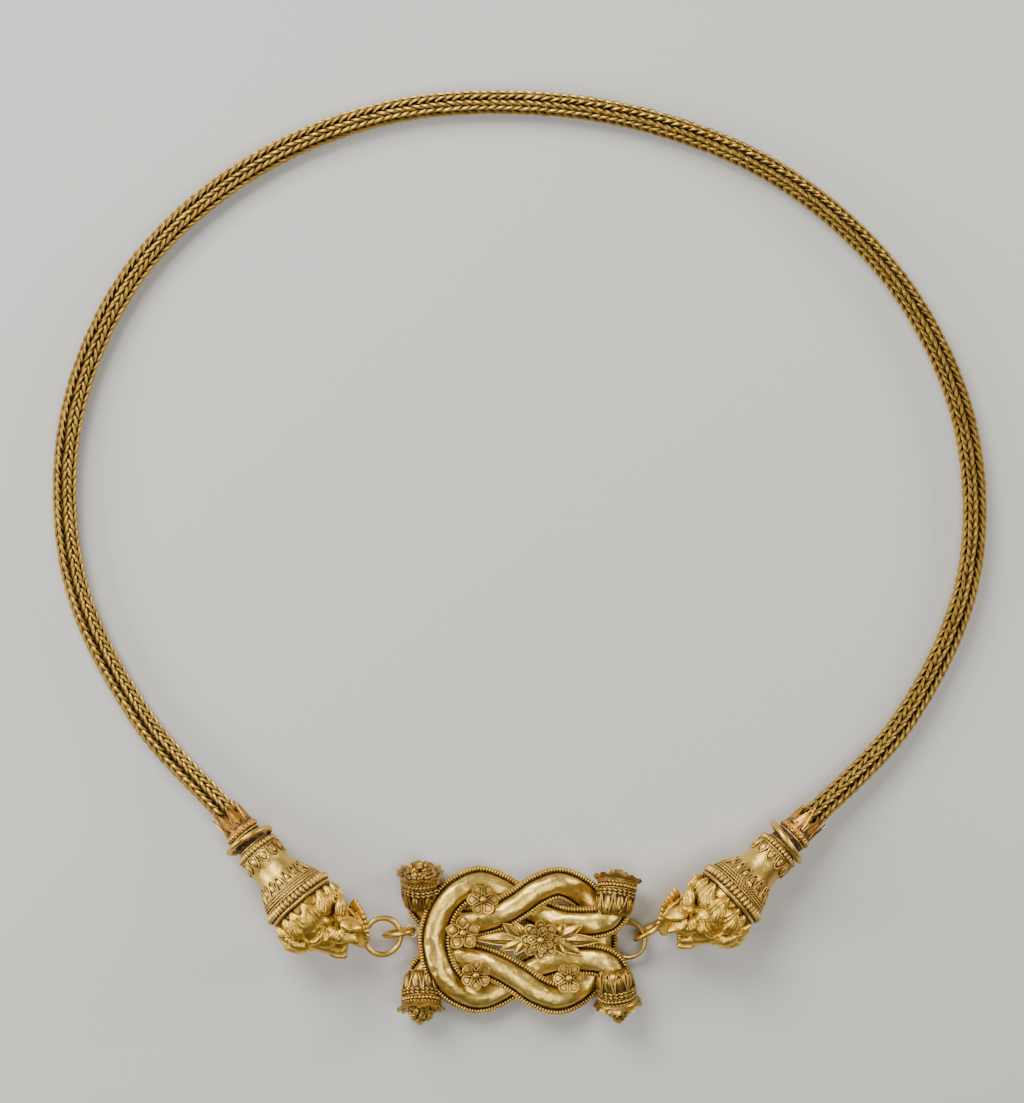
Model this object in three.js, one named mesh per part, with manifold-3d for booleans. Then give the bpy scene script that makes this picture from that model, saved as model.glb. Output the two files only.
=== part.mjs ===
// Thigh band of gold: a loop-in-loop chain, two lion-head terminals and a Herakles-knot clasp.
// It lies on a table, +Z up, in millimetres. The origin is under the middle of the ring.
import * as THREE from 'three';
import { mergeVertices } from 'three/addons/utils/BufferGeometryUtils.js';
import Module from 'manifold-3d';

const wasm = await Module();
wasm.setup();

// Chain
const CHAIN_RADIUS = 2.12;
const CHAIN_SIDES = 8;
const CHAIN_STEPS = 58;
const RING_CENTRE = [0, 9.9];
// The way the chain lies: degrees round the ring's centre, and the distance from it
const CHAIN_ROUTE = [
  [-30, 75.5], [-10, 77.6], [10, 76.9], [30, 74.3], [50, 71.1], [70, 68.3], [90, 67.7],
  [110, 69.8], [130, 72.9], [150, 76.2], [170, 77.6], [190, 77.0], [210, 74.3],
];
const CHAIN_END_INSIDE = 4.0;

// Terminals: where the leaf tips are, and the way the axis points in plan
const LEFT_TIPS = [-50.2, -42.8];
const LEFT_HEADING = -49.0;
const RIGHT_TIPS = [50.2, -43.5];
const RIGHT_HEADING = -137.3;
const TERMINAL_RISE = 8.2;
const TIPS_HEIGHT = 3.65;

// Leaf cap, measured along the terminal's axis from the leaf tips
const WALL = 0.35;
const FIT_GAP = 0.1;
const LEAF_COUNT = 7;
const LEAF_TIP_LENGTH = 1.7;
const CAP_LENGTH = 5.3;
const CAP_TIP_RADIUS = 2.6;
const CAP_BASE_RADIUS = 2.75;
const CAP_BEAD_RADIUS = 3.1;

// Sleeve, from the neck to the beaded band behind the head
const SLEEVE_START = CAP_LENGTH + FIT_GAP;
const NECK_RADIUS = 2.75;
const COLLAR_AT = 8.9;
const COLLAR_RADIUS = 3.9;
const CONE_RADIUS = 3.55;
const TONGUES_AT = 16.3;
const TONGUE_COUNT = 12;
const TONGUE_RELIEF = 0.25;
const BAND_AT = 20.1;
const BAND_RADIUS = 6.4;
const BAND_HALF = 0.85;

// Loose neck ring
const NECK_RING_AT = 6.85;
const NECK_RING_RADIUS = 3.95;
const NECK_RING_WIRE = 0.5;
const NECK_RING_TILT = 10;

// Lion head, measured from the band; the crown is turned out and up
const HEAD_START = BAND_HALF + FIT_GAP;
const CROWN_TURN = 35;
const MANE_RADIUS = 6.1;
const MANE_LENGTH = 3.6;
const MANE_ROWS = [
  { at: 2.9, radius: 5.8, count: 10, size: 1.9 },
  { at: 4.9, radius: 4.9, count: 8, size: 1.9 },
];
const RING_CLEARANCE = 0.2;

// Link rings: plan place, height, mean radius, wire radius
const LION_RING_RADIUS = 3.1;
const LION_WIRE = 0.5;
const LEFT_LION_RING = { place: [-23.2, -64.1, 4.6], slope: -0.3, heading: 0 };
const RIGHT_LION_RING = { place: [22.35, -63.0, 3.65], heading: 32 };
const LEFT_KNOT_RING = { place: [-20.5, -63.7, 3.0], heading: 10, radius: 2.4, wire: 0.5 };
const RIGHT_KNOT_RING = { place: [18.45, -65.1, 1.62], slope: 0.22, radius: 3.0, wire: 0.4 };
const RING_STEPS = 15;
const WIRE_SIDES = 5;

// Herakles knot
const KNOT_CENTRE = [-0.17, -64.95];
const STRAP_HALF = 2.8;
const PLATE = 0.3;
const DOME_HALF = 1.8;
const DOME_RISE = 1.7;
const STRAP_STEPS = 28;
const LOW = 1.6;
const HIGH = 4.0;
const EDGE_RADIUS = 0.42;
const EDGE_SIDES = 4;
const STRAP_CLEARANCE = 0.15;
// Half of each strap's middle line, from the closed bend to the finial: out, up, height
const LEFT_HALF = [
  [-14.3, 0, HIGH], [-13.5, 4.0, HIGH], [-12.4, 6.2, HIGH - 0.1], [-10.5, 8.2, 3.4], [-6.8, 9.75, 2.1],
  [-3.2, 8.6, LOW], [0, 6.4, LOW], [3.8, 4.3, LOW + 0.1], [7.4, 3.2, 3.0],
  [11.0, 3.05, HIGH], [13.7, 3.3, 4.3], [15.4, 4.1, 4.7], [16.2, 5.3, 4.8],
];
const RIGHT_HALF = [
  [14.1, 0, LOW], [13.4, 4.0, LOW], [12.3, 6.2, LOW], [10.4, 8.2, 2.0], [6.8, 9.75, 3.5],
  [3.2, 8.6, HIGH], [0, 6.4, HIGH], [-3.8, 4.3, HIGH - 0.1], [-7.4, 3.2, 2.6],
  [-11.0, 3.05, LOW], [-13.6, 3.5, LOW], [-15.4, 4.8, 1.5], [-16.6, 6.3, 1.5],
];
// The eye under each strap that holds its ring
const LEFT_EYE = { place: [-18.3, -63.3, HIGH - 0.12], radius: 1.0, tab: 1.2 };
const RIGHT_EYE = { place: [15.45, -65.1, 1.0], radius: 0.8, turn: Math.PI / 2 };
const EYE_WIRE = 0.2;

// Finials: distance along the axis, and radius
const FINIAL_SIDES = 10;
const FINIAL_PROFILE = [
  [0.15, 2.3], [1.2, 3.05], [3.0, 3.2], [4.2, 3.35], [4.8, 3.9], [5.4, 3.7], [5.9, 2.9],
];
const FINIAL_END = 6.0;
const BERRY_RADIUS = 0.95;
const BERRY_RING = 1.25;
const BERRY_COUNT = 4;
const RIM_HEIGHT = 4.15;

// Leaf sprays: height of the underside, then each leaf's tip from the knot's centre, and its width
const SPRAY_THICKNESS = 0.3;
const LEFT_SPRAY = {
  height: 5.45,
  root: [1.2, 0.5],
  leaves: [[-7.2, 0.5, 1.6], [-2.6, 3.1, 1.5], [-0.6, 3.3, 1.3], [-2.9, -1.3, 1.4], [-0.6, -2.1, 1.3]],
};
const RIGHT_SPRAY = {
  height: 6.1,
  root: [6.3, 0.5],
  leaves: [[13.8, 0.3, 1.6], [7.7, 3.1, 1.4], [10.7, 2.9, 1.5], [7.9, -2.1, 1.4], [10.5, -2.0, 1.5]],
};

// Rosettes: place from the knot's centre, height of the underside, and size
const ON_STRAPS = HIGH + PLATE + 2 * EDGE_RADIUS + 0.48;
const ON_SPRAY = RIGHT_SPRAY.height + SPRAY_THICKNESS + FIT_GAP;
const ROSETTES = [
  { name: 'rosette_upper_left', place: [-6.0, 7.25], height: ON_STRAPS, radius: 2.8, petals: 6 },
  { name: 'rosette_star', place: [-9.4, 1.6], height: ON_STRAPS, radius: 2.9, petals: 5 },
  { name: 'rosette_lower_left', place: [-7.2, -5.55], height: ON_STRAPS, radius: 2.7, petals: 6 },
  { name: 'rosette_lower_right', place: [8.5, -6.05], height: ON_STRAPS + 0.1, radius: 2.7, petals: 6 },
  { name: 'rosette_centre', place: [3.7, 0.55], height: ON_SPRAY, radius: 3.6, petals: 8, inner: 2.4 },
];
const PETAL_THICKNESS = 0.4;
const BEAD_RADIUS = 0.6;

const radians = THREE.MathUtils.degToRad;

const FINISHES = {
  chain: { color: 0xc8a25a, roughness: 0.42, metalness: 1 },
  sheet: { color: 0xd9b65e, roughness: 0.3, metalness: 1 },
  wire: { color: 0xcfa655, roughness: 0.38, metalness: 1 },
  lion: { color: 0xd2ab55, roughness: 0.35, metalness: 1 },
  leaf: { color: 0xd09a52, roughness: 0.4, metalness: 1 },
};

const band = new THREE.Group();

function addPiece(name, geometry, finish) {
  const mesh = new THREE.Mesh(geometry, new THREE.MeshStandardMaterial(FINISHES[finish]));
  mesh.name = name;
  band.add(mesh);
  return mesh;
}

// Only positions are left, shared vertices are merged, and the faces point out
function clean(geometry) {
  const bare = geometry.clone();
  bare.deleteAttribute('normal');
  bare.deleteAttribute('uv');
  const merged = mergeVertices(bare, 1e-5);
  const at = merged.attributes.position;
  const index = merged.index.array;
  const corner = [new THREE.Vector3(), new THREE.Vector3(), new THREE.Vector3()];
  let volume = 0;
  for (let i = 0; i < index.length; i += 3) {
    corner.forEach((point, k) => point.fromBufferAttribute(at, index[i + k]));
    volume += corner[0].dot(corner[1].clone().cross(corner[2]));
  }
  if (volume < 0) {
    for (let i = 0; i < index.length; i += 3) {
      [index[i + 1], index[i + 2]] = [index[i + 2], index[i + 1]];
    }
  }
  return merged;
}

function toSolid(geometry) {
  const merged = clean(geometry);
  return new wasm.Manifold(new wasm.Mesh({
    numProp: 3,
    vertProperties: new Float32Array(merged.attributes.position.array),
    triVerts: new Uint32Array(merged.index.array),
  }));
}

function toGeometry(solid) {
  const mesh = solid.getMesh();
  const geometry = new THREE.BufferGeometry();
  geometry.setAttribute('position', new THREE.BufferAttribute(mesh.vertProperties, 3));
  geometry.setIndex(new THREE.BufferAttribute(mesh.triVerts, 1));
  return geometry;
}

function join(geometries) {
  return geometries.map(toSolid).reduce((all, next) => all.add(next));
}

// A section [side, up] carried along stations { point, side, up }, with flat ends
function sweep(stations, section) {
  const places = [];
  const index = [];
  const n = section.length;
  for (const { point, side, up } of stations) {
    for (const [across, rise] of section) {
      const corner = point.clone().addScaledVector(side, across).addScaledVector(up, rise);
      places.push(corner.x, corner.y, corner.z);
    }
  }
  for (let i = 0; i + 1 < stations.length; i += 1) {
    for (let k = 0; k < n; k += 1) {
      const a = i * n + k;
      const b = i * n + ((k + 1) % n);
      index.push(a, b, b + n, a, b + n, a + n);
    }
  }
  const outline = section.map(([x, y]) => new THREE.Vector2(x, y));
  const last = (stations.length - 1) * n;
  for (const [a, b, c] of THREE.ShapeUtils.triangulateShape(outline, [])) {
    index.push(c, b, a, last + a, last + b, last + c);
  }
  const geometry = new THREE.BufferGeometry();
  geometry.setAttribute('position', new THREE.Float32BufferAttribute(places, 3));
  geometry.setIndex(index);
  return clean(geometry);
}

// Stations along a curve, with the side direction kept level
function levelStations(curve, steps) {
  const stations = [];
  for (let i = 0; i <= steps; i += 1) {
    const t = i / steps;
    const tangent = curve.getTangentAt(t);
    const side = new THREE.Vector3(tangent.y, -tangent.x, 0).normalize();
    stations.push({ point: curve.getPointAt(t), side, up: side.clone().cross(tangent) });
  }
  return stations;
}

function roundSection(radius, sides) {
  const points = [];
  for (let i = 0; i < sides; i += 1) {
    const angle = (2 * Math.PI * (i + 0.5)) / sides;
    points.push([radius * Math.cos(angle), radius * Math.sin(angle)]);
  }
  return points;
}

// A terminal's frame: X along the axis, Y to the lion's crown, Z to its side
function terminalFrame([x, y], heading) {
  const turn = radians(heading);
  const rise = radians(TERMINAL_RISE);
  const axis = new THREE.Vector3(
    Math.cos(turn) * Math.cos(rise), Math.sin(turn) * Math.cos(rise), Math.sin(rise));
  const lift = new THREE.Vector3(
    -Math.cos(turn) * Math.sin(rise), -Math.sin(turn) * Math.sin(rise), Math.cos(rise));
  const outward = axis.clone().cross(lift).multiplyScalar(x < 0 ? 1 : -1);
  const crown = outward.multiplyScalar(Math.cos(radians(CROWN_TURN)))
    .addScaledVector(lift, Math.sin(radians(CROWN_TURN)));
  const frame = new THREE.Matrix4().makeBasis(axis, crown, axis.clone().cross(crown));
  return frame.setPosition(x, y, TIPS_HEIGHT);
}

const LEFT_FRAME = terminalFrame(LEFT_TIPS, LEFT_HEADING);
const RIGHT_FRAME = terminalFrame(RIGHT_TIPS, RIGHT_HEADING);

// A round profile [along, radius] turned about the X axis
function turned(profile, sides) {
  const points = profile.map(([along, radius]) => new THREE.Vector2(radius, along));
  const lathe = new THREE.LatheGeometry(points, sides);
  return lathe.rotateZ(-Math.PI / 2);
}

function alongFrame(frame, distance) {
  return new THREE.Vector3(distance, 0, 0).applyMatrix4(frame);
}

function chainGeometry() {
  const points = [];
  points.push(alongFrame(RIGHT_FRAME, CHAIN_END_INSIDE), alongFrame(RIGHT_FRAME, 0));
  for (const [degrees, distance] of CHAIN_ROUTE) {
    const angle = radians(degrees);
    points.push(new THREE.Vector3(
      RING_CENTRE[0] + distance * Math.cos(angle),
      RING_CENTRE[1] + distance * Math.sin(angle),
      CHAIN_RADIUS));
  }
  points.push(alongFrame(LEFT_FRAME, 0), alongFrame(LEFT_FRAME, CHAIN_END_INSIDE));
  const curve = new THREE.CatmullRomCurve3(points, false, 'centripetal');
  curve.arcLengthDivisions = 1000;
  return sweep(levelStations(curve, CHAIN_STEPS), roundSection(CHAIN_RADIUS, CHAIN_SIDES));
}

// The cap: a thin tube whose open end is cut into pointed leaves
function leafCapGeometry() {
  const bore = CHAIN_RADIUS + 2 * FIT_GAP;
  const seat = CHAIN_END_INSIDE + FIT_GAP + WALL;
  const profile = [
    [0, bore], [0, CAP_TIP_RADIUS], [seat - 0.1, CAP_BASE_RADIUS], [seat + 0.1, CAP_BEAD_RADIUS],
    [CAP_LENGTH, CAP_BEAD_RADIUS], [CAP_LENGTH, 0], [seat - 0.1, 0], [seat - 0.1, bore],
    [0, bore],
  ];
  const cap = clean(turned(profile, LEAF_COUNT * 2));
  const at = cap.attributes.position;
  for (let i = 0; i < at.count; i += 1) {
    const angle = Math.atan2(at.getZ(i), at.getY(i));
    const notch = Math.abs(Math.sin((LEAF_COUNT * angle) / 2));
    if (at.getX(i) < 0.01) at.setX(i, notch * LEAF_TIP_LENGTH * 0.9);
  }
  return cap;
}

// The sleeve: neck, beaded collar, cone, a row of tongues and the beaded band
function sleeveGeometry() {
  const profile = [
    [SLEEVE_START, 0], [SLEEVE_START, NECK_RADIUS], [COLLAR_AT - 0.6, NECK_RADIUS],
    [COLLAR_AT - 0.3, COLLAR_RADIUS], [COLLAR_AT + 0.3, COLLAR_RADIUS],
    [COLLAR_AT + 0.7, CONE_RADIUS], [COLLAR_AT + 5.3, CONE_RADIUS + 0.2],
    [TONGUES_AT - 0.6, 4.1], [TONGUES_AT + 0.5, 4.7],
    [BAND_AT - BAND_HALF, 6.0], [BAND_AT, BAND_RADIUS + 0.1],
    [BAND_AT + BAND_HALF, 6.0], [BAND_AT + BAND_HALF, 0],
  ];
  const sleeve = clean(turned(profile, TONGUE_COUNT * 2));
  const at = sleeve.attributes.position;
  for (let i = 0; i < at.count; i += 1) {
    const angle = Math.atan2(at.getZ(i), at.getY(i));
    const onTongue = Math.abs(at.getX(i) - TONGUES_AT) < 0.8;
    const rise = onTongue ? TONGUE_RELIEF * Math.cos(TONGUE_COUNT * angle) : 0;
    const radius = Math.hypot(at.getY(i), at.getZ(i));
    const scale = radius > 0.1 ? (radius + rise) / radius : 1;
    at.setY(i, at.getY(i) * scale);
    at.setZ(i, at.getZ(i) * scale);
  }
  return sleeve;
}

// A rounded lump with its middle and its half sizes along, to the crown and to the side
function lump([along, crown, side], [x, y, z], lean = 0, ball = new THREE.IcosahedronGeometry(1, 0)) {
  return ball.scale(x, y, z).rotateZ(lean).translate(along, crown, side);
}

// A pair of pointed tufts, one on each side
function tufts([along, crown, side], size, lean = 0) {
  return [side, -side].map(
    (place) => lump([along, crown, place], size, lean, new THREE.OctahedronGeometry(1, 0)));
}

// The head: mane drum and locks, skull, muzzle, open jaws, ears and beard
function lionHeadGeometry() {
  const drum = [
    [HEAD_START, 0], [HEAD_START, MANE_RADIUS - 0.3], [HEAD_START + 0.6, MANE_RADIUS],
    [MANE_LENGTH, MANE_RADIUS - 0.7], [MANE_LENGTH + 1.6, 3.6], [MANE_LENGTH + 1.6, 0],
  ];
  const lumps = [
    turned(drum, 11),
    lump([5.0, 1.2, 0], [3.8, 4.1, 3.9]),
    lump([8.0, 0.5, 0], [3.3, 2.0, 2.2], -0.35),
    ...tufts([6.9, 3.2, 1.7], [1.4, 1.0, 1.3]),
    ...tufts([8.4, -0.7, 1.5], [2.3, 1.3, 1.3], -0.2),
    ...tufts([5.6, -1.2, 3.2], [2.2, 2.1, 1.5]),
    ...tufts([4.2, 4.6, 3.2], [1.2, 1.9, 1.3]),
    lump([8.6, -4.2, 0], [4.6, 1.6, 3.0], 0.1),
    ...tufts([11.4, -4.5, 1.3], [1.8, 1.0, 1.2]),
    ...tufts([8.6, -5.0, 2.6], [2.2, 1.3, 1.2]),
  ];
  MANE_ROWS.forEach(({ at, radius, count, size }, row) => {
    for (let i = 0; i < count; i += 1) {
      const angle = (2 * Math.PI * (i + 0.5 * row)) / count;
      const lock = new THREE.OctahedronGeometry(1, 0);
      lock.scale(size, size * 0.55, size * 0.85).translate(at, radius, 0).rotateX(angle);
      lumps.push(lock);
    }
  });
  return join(lumps);
}

function ringGeometry(radius, wire) {
  return new THREE.TorusGeometry(radius, wire, WIRE_SIDES, RING_STEPS);
}

// A ring lying nearly flat, higher at its far end by the slope
function flatRing({ place, slope, heading = 0 }, radius, wire) {
  const ring = ringGeometry(radius, wire);
  ring.rotateY(-Math.atan(slope)).rotateZ(radians(heading));
  return ring.translate(...place);
}

// A ring standing on edge, seen from above as a bar
function standingRing({ place, heading }, radius, wire) {
  const ring = ringGeometry(radius, wire);
  ring.rotateX(Math.PI / 2).rotateZ(radians(heading));
  return ring.translate(...place);
}

// A strap's middle line: one half, then its mirror image below
function strapCurve(half) {
  const toPoint = ([x, y, z]) => new THREE.Vector3(KNOT_CENTRE[0] + x, KNOT_CENTRE[1] + y, z);
  const upper = half.slice(1).map(toPoint).reverse();
  const lower = half.map(([x, y, z]) => toPoint([x, -y, z]));
  const curve = new THREE.CatmullRomCurve3([...upper, ...lower], false, 'centripetal');
  curve.arcLengthDivisions = 800;
  return curve;
}

const STRAP_SECTION = [
  [-STRAP_HALF, 0], [STRAP_HALF, 0], [STRAP_HALF, PLATE], [DOME_HALF, PLATE],
  [DOME_HALF * 0.7, PLATE + DOME_RISE * 0.72], [0, PLATE + DOME_RISE],
  [-DOME_HALF * 0.7, PLATE + DOME_RISE * 0.72], [-DOME_HALF, PLATE], [-STRAP_HALF, PLATE],
];

function strapSolid(half, { place, radius, turn = 0, tab = 0 }) {
  const strap = sweep(levelStations(strapCurve(half), STRAP_STEPS), STRAP_SECTION);
  const pieces = [strap];
  pieces.push(new THREE.TorusGeometry(radius, EYE_WIRE, WIRE_SIDES, 10).rotateX(turn).translate(...place));
  if (tab) {
    const plate = new THREE.BoxGeometry(tab, tab, 2 * EYE_WIRE);
    pieces.push(plate.translate(place[0] + radius + tab / 2, place[1], place[2]));
  }
  return join(pieces);
}

// The room that a strap needs, for cutting what crosses it
function strapRoom(half) {
  const wide = STRAP_HALF + STRAP_CLEARANCE;
  const top = PLATE + DOME_RISE + STRAP_CLEARANCE;
  const section = [
    [-wide, -STRAP_CLEARANCE], [wide, -STRAP_CLEARANCE], [wide, 1.4], [DOME_HALF * 0.6, top],
    [-DOME_HALF * 0.6, top], [-wide, 1.4],
  ];
  const stations = levelStations(strapCurve(half), STRAP_STEPS);
  for (const [end, inner] of [[0, 1], [STRAP_STEPS, STRAP_STEPS - 1]]) {
    const out = stations[end].point.clone().sub(stations[inner].point).normalize();
    stations[end].point.addScaledVector(out, STRAP_CLEARANCE);
  }
  return toSolid(sweep(stations, section));
}

function edgeGeometry(half, side) {
  const across = side * (STRAP_HALF - EDGE_RADIUS);
  const rise = PLATE + EDGE_RADIUS + FIT_GAP;
  const section = roundSection(EDGE_RADIUS, EDGE_SIDES).map(([x, y]) => [x + across, y + rise]);
  return sweep(levelStations(strapCurve(half), STRAP_STEPS), section);
}

// A finial at the end of an arm: calyx, bands, flared rim and a cluster of berries
function finialSolid(start, end) {
  const axis = end.clone().sub(start).normalize();
  const cup = [[FINIAL_PROFILE[0][0], 0], ...FINIAL_PROFILE, [FINIAL_PROFILE.at(-1)[0], 0]];
  const pieces = [turned(cup, FINIAL_SIDES)];
  for (let i = 0; i < BERRY_COUNT; i += 1) {
    const angle = (2 * Math.PI * i) / BERRY_COUNT;
    pieces.push(lump(
      [FINIAL_END, BERRY_RING * Math.cos(angle), BERRY_RING * Math.sin(angle)],
      [BERRY_RADIUS, BERRY_RADIUS, BERRY_RADIUS]));
  }
  pieces.push(lump([FINIAL_END + 0.9, 0, 0], [BERRY_RADIUS, BERRY_RADIUS, BERRY_RADIUS]));
  const turn = new THREE.Quaternion().setFromUnitVectors(new THREE.Vector3(1, 0, 0), axis);
  const place = new THREE.Matrix4().compose(start, turn, new THREE.Vector3(1, 1, 1));
  return join(pieces.map((piece) => piece.applyMatrix4(place)));
}

function rosetteGeometry({ radius, petals, inner }) {
  const flower = (size, count, base) => {
    const shape = new THREE.Shape();
    const corners = count * 4;
    for (let i = 0; i < corners; i += 1) {
      const angle = (2 * Math.PI * i) / corners;
      const reach = size * [1, 0.94, 0.62, 0.94][i % 4];
      const point = [reach * Math.cos(angle), reach * Math.sin(angle)];
      if (i === 0) shape.moveTo(...point);
      else shape.lineTo(...point);
    }
    shape.closePath();
    const disc = new THREE.ExtrudeGeometry(shape, { depth: PETAL_THICKNESS, bevelEnabled: false });
    return disc.translate(0, 0, base);
  };
  const tiers = [flower(radius, petals, 0)];
  let top = PETAL_THICKNESS;
  if (inner) {
    tiers.push(flower(inner, petals - 1, PETAL_THICKNESS - 0.05));
    top += PETAL_THICKNESS;
  }
  const bead = new THREE.IcosahedronGeometry(BEAD_RADIUS, 0).translate(0, 0, top);
  return toGeometry(join([...tiers, bead]));
}

function sprayGeometry({ root, leaves }) {
  const blades = leaves.map(([x, y, width]) => {
    const along = new THREE.Vector2(x - root[0], y - root[1]);
    const length = along.length();
    const outline = [
      [0, -0.3], [length * 0.65, -width / 2], [length, 0], [length * 0.65, width / 2], [0, 0.3],
    ];
    const shape = new THREE.Shape(outline.map(([a, b]) => new THREE.Vector2(a, b)));
    const leaf = new THREE.ExtrudeGeometry(shape, { depth: SPRAY_THICKNESS, bevelEnabled: false });
    return leaf.rotateZ(along.angle()).translate(root[0], root[1], 0);
  });
  const heart = new THREE.CylinderGeometry(1.0, 1.0, SPRAY_THICKNESS, 8).rotateX(Math.PI / 2);
  heart.translate(root[0], root[1], SPRAY_THICKNESS / 2);
  return toGeometry(join([...blades, heart]));
}

addPiece('chain', chainGeometry(), 'chain');

const SIDES = [
  { side: 'left', frame: LEFT_FRAME, tilt: 1 },
  { side: 'right', frame: RIGHT_FRAME, tilt: -1 },
];

const lionRings = {
  left: flatRing(LEFT_LION_RING, LION_RING_RADIUS, LION_WIRE),
  right: standingRing(RIGHT_LION_RING, LION_RING_RADIUS, LION_WIRE),
};
const lionRingRooms = {
  left: flatRing(LEFT_LION_RING, LION_RING_RADIUS, LION_WIRE + RING_CLEARANCE),
  right: standingRing(RIGHT_LION_RING, LION_RING_RADIUS, LION_WIRE + RING_CLEARANCE),
};

for (const { side, frame, tilt } of SIDES) {
  addPiece(`leaf_cap_${side}`, leafCapGeometry(), 'leaf').applyMatrix4(frame);
  addPiece(`sleeve_${side}`, sleeveGeometry(), 'sheet').applyMatrix4(frame);
  const neckRing = ringGeometry(NECK_RING_RADIUS, NECK_RING_WIRE);
  neckRing.rotateY(Math.PI / 2).rotateZ(radians(tilt * NECK_RING_TILT));
  neckRing.translate(NECK_RING_AT, 0, 0);
  addPiece(`neck_ring_${side}`, neckRing, 'wire').applyMatrix4(frame);
  const headPlace = frame.clone().multiply(new THREE.Matrix4().makeTranslation(BAND_AT, 0, 0));
  const head = lionHeadGeometry().transform(headPlace.elements);
  addPiece(`lion_head_${side}`, toGeometry(head.subtract(toSolid(lionRingRooms[side]))), 'lion');
  addPiece(`lion_ring_${side}`, lionRings[side], 'wire');
}

addPiece('knot_strap_left', toGeometry(strapSolid(LEFT_HALF, LEFT_EYE)), 'sheet');
addPiece('knot_strap_right', toGeometry(strapSolid(RIGHT_HALF, RIGHT_EYE)), 'sheet');
addPiece('knot_ring_left',
  standingRing(LEFT_KNOT_RING, LEFT_KNOT_RING.radius, LEFT_KNOT_RING.wire), 'wire');
addPiece('knot_ring_right',
  flatRing(RIGHT_KNOT_RING, RIGHT_KNOT_RING.radius, RIGHT_KNOT_RING.wire), 'wire');

for (const [name, half] of [['left', LEFT_HALF], ['right', RIGHT_HALF]]) {
  addPiece(`edge_wire_${name}_a`, edgeGeometry(half, 1), 'wire');
  addPiece(`edge_wire_${name}_b`, edgeGeometry(half, -1), 'wire');
}

// Each finial: the arm it ends, the rim's plan place, and the strap that crosses it
const FINIALS = [
  { name: 'finial_upper_left', half: RIGHT_HALF, rim: [-16.7, 11.4], crossing: LEFT_HALF },
  { name: 'finial_lower_left', half: RIGHT_HALF, rim: [-16.5, -11.4], crossing: LEFT_HALF },
  { name: 'finial_upper_right', half: LEFT_HALF, rim: [16.9, 11.0], crossing: RIGHT_HALF },
  { name: 'finial_lower_right', half: LEFT_HALF, rim: [16.9, -11.0], crossing: RIGHT_HALF },
];
for (const { name, half, rim, crossing } of FINIALS) {
  const [x, y, z] = half.at(-1);
  const side = Math.sign(rim[1]);
  const start = new THREE.Vector3(
    KNOT_CENTRE[0] + x, KNOT_CENTRE[1] + side * y, z + (PLATE + DOME_RISE) / 2);
  const end = new THREE.Vector3(KNOT_CENTRE[0] + rim[0], KNOT_CENTRE[1] + rim[1], RIM_HEIGHT);
  const finial = finialSolid(start, end).subtract(strapRoom(crossing)).subtract(strapRoom(half));
  addPiece(name, toGeometry(finial), 'lion');
}

for (const rosette of ROSETTES) {
  const piece = addPiece(rosette.name, rosetteGeometry(rosette), 'lion');
  const [x, y] = rosette.place;
  piece.position.set(KNOT_CENTRE[0] + x, KNOT_CENTRE[1] + y, rosette.height);
}
for (const [name, spray] of [['leaf_spray_left', LEFT_SPRAY], ['leaf_spray_right', RIGHT_SPRAY]]) {
  addPiece(name, sprayGeometry(spray), 'leaf')
    .position.set(KNOT_CENTRE[0], KNOT_CENTRE[1], spray.height);
}

export default band;
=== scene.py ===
"""Gold thigh band: the looks of its woven chain, lion-head terminals, link rings and Herakles knot.

Shapes are worked out in millimetres in the frame of the solids, and a piece is scaled to metres when
it is settled.
"""

import logging
import math
from collections.abc import Callable, Sequence
from dataclasses import dataclass, field
from enum import Enum

import bpy
import numpy as np
from mathutils import Matrix, Vector
from mathutils.bvhtree import BVHTree


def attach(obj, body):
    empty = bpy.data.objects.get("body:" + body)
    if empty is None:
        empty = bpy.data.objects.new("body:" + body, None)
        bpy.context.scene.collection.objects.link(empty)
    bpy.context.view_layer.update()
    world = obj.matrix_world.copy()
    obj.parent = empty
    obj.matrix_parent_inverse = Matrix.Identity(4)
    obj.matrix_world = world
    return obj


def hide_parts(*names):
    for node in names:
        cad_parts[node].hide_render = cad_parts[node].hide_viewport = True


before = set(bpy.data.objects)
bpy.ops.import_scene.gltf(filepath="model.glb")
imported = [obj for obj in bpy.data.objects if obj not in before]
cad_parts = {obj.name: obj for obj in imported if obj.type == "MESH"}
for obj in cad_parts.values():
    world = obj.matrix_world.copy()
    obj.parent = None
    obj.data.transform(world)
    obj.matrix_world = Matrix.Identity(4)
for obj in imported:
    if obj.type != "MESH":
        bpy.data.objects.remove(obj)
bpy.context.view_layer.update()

Pair = tuple[float, float]
Point = tuple[float, float, float]
Colour = tuple[float, float, float, float]

MM = 0.001
BODY = "root"
SEED = 11
SMOOTH_ANGLE = math.radians(50)
WELD = 0.001

# Sizes that several sub-assemblies share
CHAIN_RADIUS = 2.12
CROWN_TURN = 35.0
PLATE = 0.3
STRAP_HALF = 2.8
DOME_HALF = 1.8
DOME_RISE = 1.7
EDGE_RADIUS = 0.42
FIT_GAP = 0.1
KNOT_CENTRE = (-0.17, -64.95)

log = logging.getLogger("thigh_band")


class Side(Enum):
    """The left or right half of the band, as the camera sees it."""

    LEFT = "left"
    RIGHT = "right"

    @property
    def sign(self) -> int:
        """Minus one at the left, one at the right."""
        return -1 if self is Side.LEFT else 1


class Wire(Enum):
    """How a wire is worked."""

    PLAIN = "plain"
    BEADED = "beaded"
    ROPE = "rope"


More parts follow.
